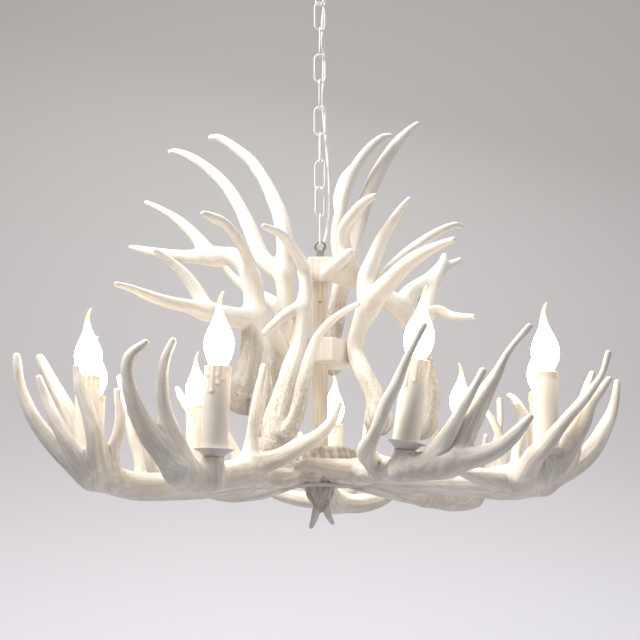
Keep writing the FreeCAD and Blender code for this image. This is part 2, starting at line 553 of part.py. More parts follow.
# ---------------------------------------------------------------- the ceiling pieces
def canopy():
    """The thin bell over the ceiling strap, with a hole for the eye bolt and one for the cord."""
    r, h, w = CANOPY_RADIUS, CANOPY_HEIGHT, CANOPY_WALL
    outer = [(0, -h), (r * 0.55, -h), (r * 0.8, -h + 3), (r * 0.93, -h * 0.55), (r, -4), (r, 0), (0, 0)]
    inner = [(0, -h + w), (r * 0.55 - 0.5, -h + w), (r * 0.8 - w * 0.7, -h + 3 + w * 0.7),
             (r * 0.93 - w, -h * 0.55), (r - w, -4), (r - w, 0), (0, 0)]
    shell = revolve(outer).cut(revolve(inner))
    cord_hole = post(CORD_RADIUS + CORD_HOLE_CLEARANCE, -h, 0, CORD_CANOPY_X)
    return shell.cut([post(EYE_SHANK_RADIUS, -h, 0), cord_hole])


def strap():
    """The steel strap screwed to the ceiling; the eye bolt is threaded into it."""
    plate = box(STRAP_LENGTH, STRAP_WIDTH, -STRAP_THICK, 0)
    cuts = [post(STRAP_SCREW_RADIUS, -STRAP_THICK, 0, x) for x in
            (-STRAP_SCREW_SPACING / 2, STRAP_SCREW_SPACING / 2)]
    return plate.cut(cuts + [post(EYE_SHANK_RADIUS, -STRAP_THICK, 0)])


def eye_bolt():
    """The threaded shank with its ring, from which the chain hangs."""
    ring = full_ring(EYE_RING_RADIUS, EYE_WIRE_RADIUS, V(0, 0, EYE_CENTRE + LEVEL))
    return post(EYE_SHANK_RADIUS, SHANK_FOOT + LEVEL, 0).fuse(ring)


def collar():
    """The round nut under the canopy that holds it up against the ceiling."""
    top = -CANOPY_HEIGHT
    ring = post(COLLAR_RADIUS, top - COLLAR_HEIGHT, top)
    edges = [e for e in ring.Edges if e.Closed]
    ring = ring.makeChamfer(1.0, [edges[-1]])
    return ring.cut(post(EYE_SHANK_RADIUS, top - COLLAR_HEIGHT - 1, top))


def terminal(low, x=0.0, y=0.0):
    """A small insulated terminal block on which a cord end lands."""
    return Part.makeBox(14, 10, TERMINAL_HEIGHT, V(x - 7, y - 5, low))


# ---------------------------------------------------------------- the cord beside the chain
def cord(route):
    """A round tube along straight runs joined by tangent arcs."""
    points = [V(*p) for p in route]
    edges = []
    radii = []
    here = points[0]
    for before, corner, after in zip(points, points[1:], points[2:]):
        run = 0.45 * min((corner - before).Length, (after - corner).Length)
        back = (before - corner).normalize()
        ahead = (after - corner).normalize()
        start, end = corner + back * run, corner + ahead * run
        half_turn = (math.pi - back.getAngle(ahead)) / 2
        radius = run / math.tan(half_turn)
        middle = (back + ahead).normalize()
        centre = corner + middle * math.hypot(radius, run)
        edges.append(Part.LineSegment(here, start).toShape())
        edges.append(Part.Arc(start, centre - middle * radius, end).toShape())
        radii.append(round(radius))
        here = end
    edges.append(Part.LineSegment(here, points[-1]).toShape())
    path = Part.Wire(edges)
    ring = Part.Wire([Part.makeCircle(CORD_RADIUS, points[0], points[1] - points[0])])
    tube = path.makePipeShell([ring], True, False)
    expected = math.pi * CORD_RADIUS ** 2 * path.Length
    print("cord", round(path.Length), "mm, arc radii", radii)
    print("volume ratio", round(tube.Volume / expected, 4))
    return tube


def lowered(route):
    """A route written over the lamp level, moved to its height under the ceiling."""
    return [(x, y, z + LEVEL) for x, y, z in route]


def inner_lead():
    """The lead that carries on inside the column from the cord's end to the hub."""
    return post(CORD_RADIUS, HUB_TOP - HUB_ROOF + LEVEL, CORD_LOWER[-1][2] + LEVEL, *CORD_BORE)


def clip_ring():
    """The small band that ties the cord to a link of the chain."""
    x, y, z = CORD_CLIP
    z += LEVEL
    reach = 0.5 * (LINK_WIDTH - LINK_WIRE)
    outer = Part.makeCylinder(CORD_RADIUS + 1.2, CLIP_HEIGHT, V(x, y, z - CLIP_HEIGHT / 2))
    inner = Part.makeCylinder(CORD_RADIUS, CLIP_HEIGHT, V(x, y, z - CLIP_HEIGHT / 2))
    hook = Part.makeBox(x - 1.0, 2.4, CLIP_HEIGHT, V(0, reach - 1.2, z - CLIP_HEIGHT / 2))
    return outer.fuse(hook).cut([inner, chain_link(CHAIN_LINKS - 1)])


# ---------------------------------------------------------------- the middle pieces
def top_cap():
    """The square block that crowns the column."""
    low, high = CAP_TOP - CAP_HEIGHT + LEVEL, CAP_TOP + LEVEL
    block = box(CAP_SIZE, CAP_SIZE, low, high)
    uprights = [e for e in block.Edges if abs(e.CenterOfMass.z - (low + high) / 2) < 1]
    block = block.makeChamfer(1.2, uprights)
    return block.cut([post(ROD_RADIUS, low, high), post(CORD_RADIUS, low, high, *CORD_BORE)])


def hanging_loop():
    """The threaded block and ring on which the lamp hangs."""
    foot = CAP_TOP + LEVEL
    block = box(LOOP_BLOCK, LOOP_BLOCK * 0.6, foot, foot + LOOP_BLOCK + 2)
    ring = full_ring(LOOP_RING_RADIUS, LOOP_WIRE_RADIUS, V(0, 0, LOOP_TOP_WIRE - LOOP_RING_RADIUS + LEVEL))
    return block.fuse(ring).cut(post(ROD_RADIUS, foot, foot + 8))


def centre_rod():
    """The threaded rod that clamps the loop, cap, column, block, hub and finial together."""
    return post(ROD_RADIUS, HUB_TOP - HUB_HEIGHT - COVER_THICK - 12 + LEVEL, CAP_TOP + 8 + LEVEL)


def column():
    """The square tube between the hub and the cap."""
    low, high = HUB_TOP + LEVEL, CAP_TOP - CAP_HEIGHT + LEVEL
    inner = COLUMN_SIZE - 2 * COLUMN_WALL
    return box(COLUMN_SIZE, COLUMN_SIZE, low, high).cut(box(inner, inner, low, high))


def block_outline():
    """The hexagonal block before the column's hole is cut."""
    return hexagon_prism(BLOCK_APOTHEM, BLOCK_TOP - BLOCK_HEIGHT + LEVEL, BLOCK_TOP + LEVEL, BLOCK_TURN)


def middle_block():
    """The hexagonal block that carries the upper antlers."""
    low, high = BLOCK_TOP - BLOCK_HEIGHT + LEVEL, BLOCK_TOP + LEVEL
    return block_outline().cut(box(COLUMN_SIZE, COLUMN_SIZE, low, high))


def hub_outline():
    """The hub drum's outer body, a little fuller at its middle."""
    low, high = HUB_TOP - HUB_HEIGHT + LEVEL, HUB_TOP + LEVEL
    r = HUB_RADIUS
    return revolve([(0, low), (r - 4, low), (r, low + 6), (r, high - 8), (r - 3, high - 2), (r - 5, high),
                    (0, high)])


def antler_stop():
    """The round room that the hub takes out of the lower antlers' inner ends."""
    low = HUB_TOP - HUB_HEIGHT - COVER_THICK - 2 + LEVEL
    return post(HUB_RADIUS, low, HUB_TOP + 8 + LEVEL)


def hub_drum():
    """The burr-like drum that carries the nine lower antlers."""
    low, high = HUB_TOP - HUB_HEIGHT + LEVEL, HUB_TOP + LEVEL
    cavity = post(HUB_RADIUS - HUB_WALL, low, high - HUB_ROOF)
    bores = [post(ROD_RADIUS, low, high), post(CORD_RADIUS, low, high, *CORD_BORE)]
    return hub_outline().cut([cavity] + bores)


def hub_cover():
    """The plate that closes the hub from below."""
    top = HUB_TOP - HUB_HEIGHT + LEVEL
    plate = post(HUB_RADIUS - 4, top - COVER_THICK, top)
    return plate.cut(post(ROD_RADIUS, top - COVER_THICK, top))


def rod_nut():
    """The hexagonal nut on the rod, above the cover."""
    low = HUB_TOP - HUB_HEIGHT + LEVEL
    return hexagon_prism(NUT_RADIUS, low, low + NUT_HEIGHT, 0).cut(post(ROD_RADIUS, low, low + NUT_HEIGHT))


def finial():
    """The burr under the hub with its two short prongs."""
    top = HUB_TOP - HUB_HEIGHT - COVER_THICK
    r, tall = FINIAL_RADIUS, FINIAL_LENGTH
    bowl = [(0, 0, top, r), (0, 0, top - 0.12 * tall, r * 0.93), (1, 0, top - 0.3 * tall, r * 0.62),
            (2, 0, top - 0.5 * tall, r * 0.5), (2, 0, top - 0.6 * tall, r * 0.42)]
    left = [(0, 0, top - 0.4 * tall, r * 0.42), (-5, 0, top - 0.72 * tall, r * 0.28),
            (-12, 0, top - tall, r * 0.08)]
    right = [(3, 0, top - 0.4 * tall, r * 0.38), (11, 1, top - 0.7 * tall, r * 0.26),
             (17, 2, top - 0.9 * tall, r * 0.08)]
    limbs = [limb([(x, y, z + LEVEL, w) for x, y, z, w in p]) for p in (bowl, left, right)]
    rod_hole = post(ROD_RADIUS, top - 12 + LEVEL, top + LEVEL)
    cover_room = post(2 * r, top + LEVEL, top + 10 + LEVEL)
    return limbs[0].fuse(limbs[1:]).cut([rod_hole, cover_room])


def block_stud(x, y):
    """A stud from the middle block into an upper antler's trunk."""
    out = V(x, y, 0)
    out.normalize()
    start = V(0, 0, BLOCK_STUD_HEIGHT + LEVEL) + out * (BLOCK_APOTHEM - STUD_BITE)
    return Part.makeCylinder(SCREW_RADIUS, STUD_LENGTH, start, out)


def cap_stud():
    """The stud from the top cap into the upper antler that meets it."""
    start = V(CAP_SIZE / 2 - 8, CAP_STUD_Y, CAP_STUD_HEIGHT + LEVEL)
    return Part.makeCylinder(SCREW_RADIUS, CAP_STUD_LENGTH, start, V(1, 0, 0))


def main():
    os.makedirs("parts", exist_ok=True)

    lower = {n: lower_antler(a) for n, a in LOWER_ANTLERS.items()}
    upper = {n: upper_antler(a) for n, a in UPPER_ANTLERS.items()}

    # the lights stand on flat seats cut in the lower antlers
    for n in lower:
        lower[n] = lower[n].fuse(seat_boss(n, SEAT_BOSS_HEIGHTS[n]))
    for n in LIGHTS:
        lower[n] = lower[n].cut(seat_cutters(n))

    # the antlers butt against the hub, the block and the cap and are held by screws and studs
    stop = antler_stop()
    screws = []
    for n, branches in LOWER_ANTLERS.items():
        x, y, z, _ = branches[0][0]
        azimuth = math.degrees(math.atan2(x, -y))
        screws.append(hub_screw(azimuth, z + LEVEL))
        lower[n] = lower[n].cut([stop, screws[-1]])
    drum = hub_drum().cut(screws)

    block = middle_block()
    block_body = block_outline()
    cap_body = box(CAP_SIZE, CAP_SIZE, CAP_TOP - CAP_HEIGHT + LEVEL, CAP_TOP + LEVEL)
    studs = {}
    for n, x, y in BLOCK_STUD_SPOTS:
        studs[n] = block_stud(x, y)
        block = block.cut(studs[n])
    cap = top_cap()
    studs[6] = cap_stud()
    cap = cap.cut(studs[6])
    for n in upper:
        upper[n] = upper[n].cut([block_body, cap_body, studs[n]])

    for n, solid in lower.items():
        export("lower_antler_%d" % n, solid)
    for n, solid in upper.items():
        export("upper_antler_%d" % n, solid)

    for n in LIGHTS:
        place = light_place(n)
        turn = FreeCAD.Placement(V(0, 0, 0), FreeCAD.Rotation(V(0, 0, 1), LIGHTS[n][4]))
        export("bulb_glass_%d" % n, placed(bulb_glass(), place.multiply(turn)))
        export("bulb_cap_%d" % n, placed(bulb_cap(), place))
    for name, maker in (("drip_pans", pan), ("nipples", nipple), ("lamp_holders", holder),
                        ("candle_sleeves", sleeve)):
        export(name, Part.makeCompound([placed(maker(), light_place(n)) for n in LIGHTS]))

    export("hub_drum", drum)
    export("hub_screws", Part.makeCompound(screws))
    export("antler_studs", Part.makeCompound(list(studs.values())))
    export("hub_cover", hub_cover())
    export("rod_nut", rod_nut())
    export("finial", finial())
    export("centre_rod", centre_rod())
    export("column", column())
    export("middle_block", block)
    export("top_cap", cap)
    export("hanging_loop", hanging_loop())
    export("chain_links", Part.makeCompound([chain_link(i) for i in range(CHAIN_LINKS)]))
    export("canopy", canopy())
    export("ceiling_strap", strap())
    export("eye_bolt", eye_bolt())
    export("canopy_collar", collar())
    export("ceiling_terminal", terminal(-STRAP_THICK - TERMINAL_HEIGHT, CORD_CANOPY_X))
    export("hub_terminal", terminal(HUB_TOP - HUB_ROOF - TERMINAL_HEIGHT + LEVEL, 0, CORD_BORE[1] + 4))
    export("inner_lead", inner_lead())
    export("cord_clip", clip_ring())
    export("cord_upper", cord(lowered(CORD_UPPER)))
    export("cord_lower", cord(lowered(CORD_LOWER)))


main()
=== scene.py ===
"""Looks for the antler chandelier: every visible surface, its finish, the stage and the camera."""
import json
import math

import bpy
import numpy as np
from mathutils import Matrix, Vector


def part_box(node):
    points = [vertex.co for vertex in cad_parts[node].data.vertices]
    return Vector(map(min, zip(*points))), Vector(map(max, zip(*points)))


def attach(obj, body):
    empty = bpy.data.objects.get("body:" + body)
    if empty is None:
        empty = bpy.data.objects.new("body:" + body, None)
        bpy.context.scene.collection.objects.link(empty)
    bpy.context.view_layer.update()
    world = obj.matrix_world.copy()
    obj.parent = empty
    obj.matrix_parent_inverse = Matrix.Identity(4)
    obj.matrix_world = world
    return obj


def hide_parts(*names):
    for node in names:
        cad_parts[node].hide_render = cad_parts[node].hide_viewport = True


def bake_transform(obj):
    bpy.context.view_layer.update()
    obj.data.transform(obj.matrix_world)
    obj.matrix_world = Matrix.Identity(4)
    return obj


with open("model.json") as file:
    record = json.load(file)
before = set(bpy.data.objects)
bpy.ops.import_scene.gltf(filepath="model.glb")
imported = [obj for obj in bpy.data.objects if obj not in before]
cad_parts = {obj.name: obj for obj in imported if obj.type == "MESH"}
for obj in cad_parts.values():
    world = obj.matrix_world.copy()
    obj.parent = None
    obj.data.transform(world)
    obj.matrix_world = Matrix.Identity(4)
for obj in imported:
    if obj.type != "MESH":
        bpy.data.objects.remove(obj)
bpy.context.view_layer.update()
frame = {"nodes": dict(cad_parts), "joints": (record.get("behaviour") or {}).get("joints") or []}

bl_info = {
    "name": "Antler Chandelier",
    "version": (1, 0, 0),
    "blender": (4, 5, 0),
    "location": "View3D > Sidebar > Antler Chandelier",
    "description": "Builds the surfaces and finishes of an antler chandelier round its fixed frame",
    "category": "Object",
}

# ---------------------------------------------------------------- sizes (mm), the same as the frame's
MM = 0.001
HUB_TOP = 19.0
HUB_HEIGHT = 49.0
HUB_RADIUS = 52.0
HUB_WALL = 12.0
HUB_ROOF = 6.0
ROD_BORE_RADIUS = 4.2
COVER_THICKNESS = 4.0
# Points are written from the lamp level, the height of the drip pans; the frame says where that is.
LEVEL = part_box("hub_drum")[1].z / MM - HUB_TOP

SLEEVE_RADIUS = 15.5
SLEEVE_HEIGHT = 97.0
SLEEVE_MOUTH = 10.5
SLEEVE_WALL = 1.7
WAX_RUNS = 7
PAN_RADIUS = 23.5
PAN_DROP = 7.0
PAN_BORE_RADIUS = 5.2
BULB_RADIUS = 17.5
BULB_LENGTH = 90.0
# how far the bulb's neck sits in the sleeve's mouth
BULB_SEAT = 1.0

LINK_COUNT = 11
LINK_WIRE = 3.0
LINK_LENGTH = 47.5
LINK_WIDTH = 19.0
LINK_GAP = 0.2
LINK_PITCH = LINK_LENGTH - 2 * LINK_WIRE - LINK_GAP
CHAIN_FOOT = 313.3
# how far each link is turned about the chain's line, in degrees, from the lowest up
LINK_TURNS = (90, 38, -28, -85, -5, 85, 5, 90, 20, -40, 90)

COLUMN_SIZE = 22.0
CAP_SIZE = 34.0
CAP_TOP = 291.0
CAP_HEIGHT = 35.0
BLOCK_APOTHEM = 45.0
BLOCK_TOP = 169.0
BLOCK_HEIGHT = 33.0
BLOCK_TURN = -10.0
FINIAL_TOP = HUB_TOP - HUB_HEIGHT - COVER_THICKNESS
FINIAL_RADIUS = 20.0
FINIAL_LENGTH = 55.0

# the loop on the cap: a small block that carries an upright ring
LOOP_BLOCK_WIDTH = 11.0
LOOP_BLOCK_DEPTH = 6.6
LOOP_BLOCK_HEIGHT = 13.0
LOOP_RING_HEIGHT = 19.0
LOOP_RADIUS = 7.0
LOOP_WIRE_RADIUS = 2.0

# the eye bolt in the ceiling; heights are from the ceiling
EYE_CENTRE = -52.0
EYE_RADIUS = 9.0
EYE_WIRE_RADIUS = 2.5
SHANK_RADIUS = 5.0
SHANK_FOOT = EYE_CENTRE + 8.8
CANOPY_FLOOR = -32.0
CANOPY_WALL = 2.0

# the small screw in the column's front face, over the lamp level
SCREW_HEIGHT = 226.0

# by light: the height of the boss under its pan, and the turn of its bulb's bent tip in degrees
SEAT_BOSS_HEIGHTS = {1: 20, 2: 24, 3: 20, 4: 22, 5: 26, 6: 26, 7: 20, 8: 24, 9: 16}
BULB_TURNS = {1: 0, 2: 30, 3: 60, 4: 10, 5: 0, 6: 140, 7: 160, 8: 20, 9: 40}

# Each antler is a list of branches, the beam first; a branch is a list of points
# (x, y, height over the lamp level, radius) and its last point is the tip.
LOWER_ANTLERS = {
    1: [
        [(-38, -23, -12, 14), (-114, -65, -28, 15), (-176, -100, -35, 16), (-230, -132, -38, 16),
         (-268, -157, -30, 16), (-292, -168, -18, 13)],
        [(-287, -168, -21, 14), (-309, -174, -10, 13), (-328, -176, 6, 11.5), (-347, -178, 27, 9.6),
         (-364, -180, 53, 8), (-377, -180, 84, 6.4), (-381, -180, 107, 5), (-383, -180, 121, 3.2)],
        [(-278, -156, -24, 11), (-300, -129, -8, 11.5), (-311, -127, 14, 11.5),
         (-319, -128, 34, 11), (-330, -128, 61, 10.4), (-343, -128, 84, 8.8), (-356, -128, 107, 7.2),
         (-366, -128, 127, 4.4)],
        [(-290, -178, -20, 11), (-306, -192, 4, 9.6), (-327, -193, 38, 8.4), (-341, -190, 67, 5.6),
         (-351, -190, 92, 3)],
        [(-275, -166, -26, 13), (-275, -188, -5, 12.5), (-278, -200, 23, 11), (-285, -204, 48, 9),
         (-296, -206, 77, 6.6), (-300, -206, 95, 4), (-302, -206, 103, 3.2)],
        [(-262, -156, -34, 12), (-258, -176, -3, 8.6), (-251, -182, 23, 7.4), (-249, -184, 46, 6),
         (-252, -184, 62, 4), (-254, -184, 76, 3)],
    ],
    2: [
        [(-19, -41, -14, 14), (-58, -120, -28, 15), (-88, -200, -25, 17), (-116, -270, -33, 14),
         (-137, -312, -38, 14), (-159, -335, -33, 13)],
        [(-147, -330, -33, 13), (-163, -338, 5, 11), (-172, -342, 33, 7.8), (-176, -344, 62, 6.8),
         (-174, -342, 90, 5.2), (-166, -338, 113, 3.2)],
        [(-157, -333, -33, 13), (-187, -348, 5, 12), (-204, -354, 37, 9.5), (-213, -356, 68, 7.2),
         (-212, -354, 92, 6.5), (-195, -350, 109, 3.2)],
        [(-86, -203, -18, 11), (-83, -205, 19, 7.7), (-80, -210, 46, 6.5), (-76, -214, 70, 4.8),
         (-69, -220, 102, 3.2)],
        [(-83, -201, -18, 13), (-49, -196, -7, 11.5), (-26, -192, 6, 11), (-4, -190, 18, 9),
         (14, -190, 37, 6), (24, -190, 59, 3.2)],
    ],
    3: [
        [(19, -40, -16, 14), (51, -140, -22, 16), (77, -250, -26, 14), (92, -310, -28, 13),
         (117, -325, -28, 12), (143, -328, -24, 12)],
        [(51, -150, -22, 14), (25, -165, -20, 13), (2, -175, -17, 10), (-14, -180, -14, 7),
         (-28, -184, -20, 3.2)],
        [(70, -240, -24, 12), (53, -290, -8, 11), (62, -330, 11, 7), (74, -340, 42, 7.3),
         (85, -345, 63, 6.6), (95, -347, 87, 4.8), (105, -348, 107, 3.6), (117, -350, 129, 3)],
        [(117, -322, -27, 12), (134, -330, -4, 9.5), (150, -334, 22, 6.6), (166, -336, 49, 5),
         (177, -336, 68, 3.4), (183, -336, 79, 3.2)],
        [(134, -326, -25, 12), (167, -330, -19, 11), (186, -332, -13, 10.5), (202, -334, -5, 9),
         (217, -336, 8, 7), (234, -338, 27, 3.2)],
        [(141, -326, -24, 12), (155, -322, -7, 12), (171, -318, 23, 12), (183, -316, 48, 11),
         (200, -316, 76, 7), (216, -318, 105, 3.6), (240, -320, 133, 3)],
    ],
    4: [
        [(37, -24, -17, 13), (106, -80, -26, 14), (173, -125, -29, 14), (231, -165, -33, 15),
         (268, -186, -27, 15)],
        [(231, -165, -33, 13), (197, -205, -32, 10), (166, -240, -28, 3.2)],
        [(253, -183, -29, 13), (259, -212, -9, 12), (269, -222, 2, 11), (285, -226, 21, 8.5),
         (302, -228, 41, 7), (323, -230, 64, 5.5), (342, -232, 90, 3.2), (351, -234, 116, 3)],
        [(268, -186, -28, 14), (288, -172, -24, 13), (306, -168, -5, 11.5), (319, -172, 17, 10.5),
         (331, -174, 37, 9), (340, -172, 60, 7.5), (355, -170, 79, 5), (366, -170, 93, 3.2)],
        [(300, -168, -12, 10), (324, -155, 37, 8), (342, -140, 79, 5.5), (353, -135, 105, 3.2)],
        [(244, -174, -31, 9), (249, -150, 3, 6), (258, -146, 25, 4.5), (265, -145, 44, 3)],
    ],
    5: [
        [(43, 7, -13, 14), (127, 20, -26, 15), (205, 32, -31, 16), (279, 46, -33, 16),
         (323, 54, -25, 14)],
        [(323, 54, -25, 14), (368, 58, -1, 14.5), (394, 60, 23, 13.5), (413, 62, 51, 11),
         (426, 62, 77, 8), (433, 62, 102, 5.5), (436, 62, 121, 3.2)],
        [(279, 50, -33, 12), (306, 79, -3, 10), (313, 88, 31, 8), (306, 92, 69, 7.5),
         (290, 92, 96, 6), (282, 92, 104, 4)],
        [(256, 42, -34, 11), (263, 60, 0, 9), (283, 68, 37, 7), (298, 68, 69, 5), (292, 68, 90, 3.2)],
        [(316, 48, -29, 11), (353, 24, -3, 9), (366, 22, 33, 6), (370, 20, 68, 3.2)],
    ],
    6: [
        [(27, 34, -16, 14), (96, 110, -30, 15), (161, 175, -40, 16), (213, 228, -45, 16),
         (246, 248, -40, 13)],
        [(161, 175, -40, 12), (169, 170, 0, 9), (179, 166, 38, 6), (175, 164, 78, 3.2)],
        [(246, 248, -40, 12), (274, 258, -8, 10), (288, 262, 30, 8), (293, 264, 57, 7),
         (285, 264, 80, 6), (273, 264, 100, 3.2)],
        [(233, 247, -40, 11), (260, 276, -10, 9), (283, 286, 31, 7), (297, 288, 81, 5),
         (298, 288, 122, 4)],
        [(205, 220, -44, 11), (241, 212, -13, 9), (257, 208, 26, 6), (262, 206, 55, 3.2)],
    ],
    7: [
        [(2, 43, -19, 14), (12, 150, -34, 15), (22, 240, -46, 17), (26, 310, -38, 15),
         (34, 340, -24, 12)],
        [(22, 240, -44, 14), (-32, 260, -41, 12), (-81, 270, -25, 10), (-111, 274, 6, 6),
         (-121, 274, 35, 3.2)],
        [(22, 250, -46, 15), (65, 268, -48, 15), (104, 276, -36, 13), (127, 280, -12, 9),
         (137, 282, 23, 5), (144, 282, 56, 3.2)],
        [(34, 330, -34, 12), (60, 346, -14, 10), (70, 354, 20, 8), (76, 358, 54, 5.5), (79, 358, 88, 3.2)],
        [(18, 322, -36, 12), (-20, 338, -16, 10), (-30, 350, 12, 8), (-34, 356, 44, 5),
         (-34, 356, 72, 3.2)],
    ],
    8: [
        [(-28, 34, -17, 14), (-87, 120, -31, 15), (-143, 195, -31, 17), (-193, 250, -20, 14),
         (-216, 272, -8, 12)],
        [(-214, 276, -10, 11), (-212, 301, 12, 9.5), (-200, 303, 42, 8.5), (-199, 300, 68, 8),
         (-213, 296, 98, 8), (-229, 294, 123, 7), (-238, 292, 141, 5)],
        [(-131, 185, -30, 12), (-125, 200, 2, 10), (-135, 206, 33, 8), (-149, 210, 65, 5),
         (-152, 210, 94, 3.2)],
        [(-214, 268, -10, 10), (-240, 262, 18, 8), (-253, 258, 53, 6), (-255, 256, 86, 3.2)],
        [(-87, 120, -30, 10), (-79, 150, -1, 8), (-89, 160, 30, 5), (-99, 162, 51, 3.2)],
    ],
    9: [
        [(-43, 9, -13, 14), (-127, 28, -30, 15), (-207, 45, -35, 16), (-273, 58, -33, 16),
         (-312, 60, -23, 14), (-330, 60, -16, 12)],
        [(-312, 66, -21, 12), (-340, 92, 9, 9), (-352, 104, 55, 7), (-361, 110, 101, 4),
         (-362, 110, 123, 3.2)],
        [(-259, 55, -33, 11), (-258, 55, 0, 9), (-271, 60, 36, 7.5), (-280, 68, 70, 6),
         (-292, 84, 107, 4.4), (-300, 96, 133, 3.2)],
        [(-228, 49, -33, 11), (-239, 30, -3, 8.5), (-247, 24, 26, 7), (-259, 20, 54, 5),
         (-273, 16, 75, 3.2)],
        [(-330, 60, -22, 12), (-362, 66, 0, 10.5), (-376, 72, 28, 8.5), (-386, 74, 60, 5),
         (-388, 74, 84, 3.2)],
    ],
}

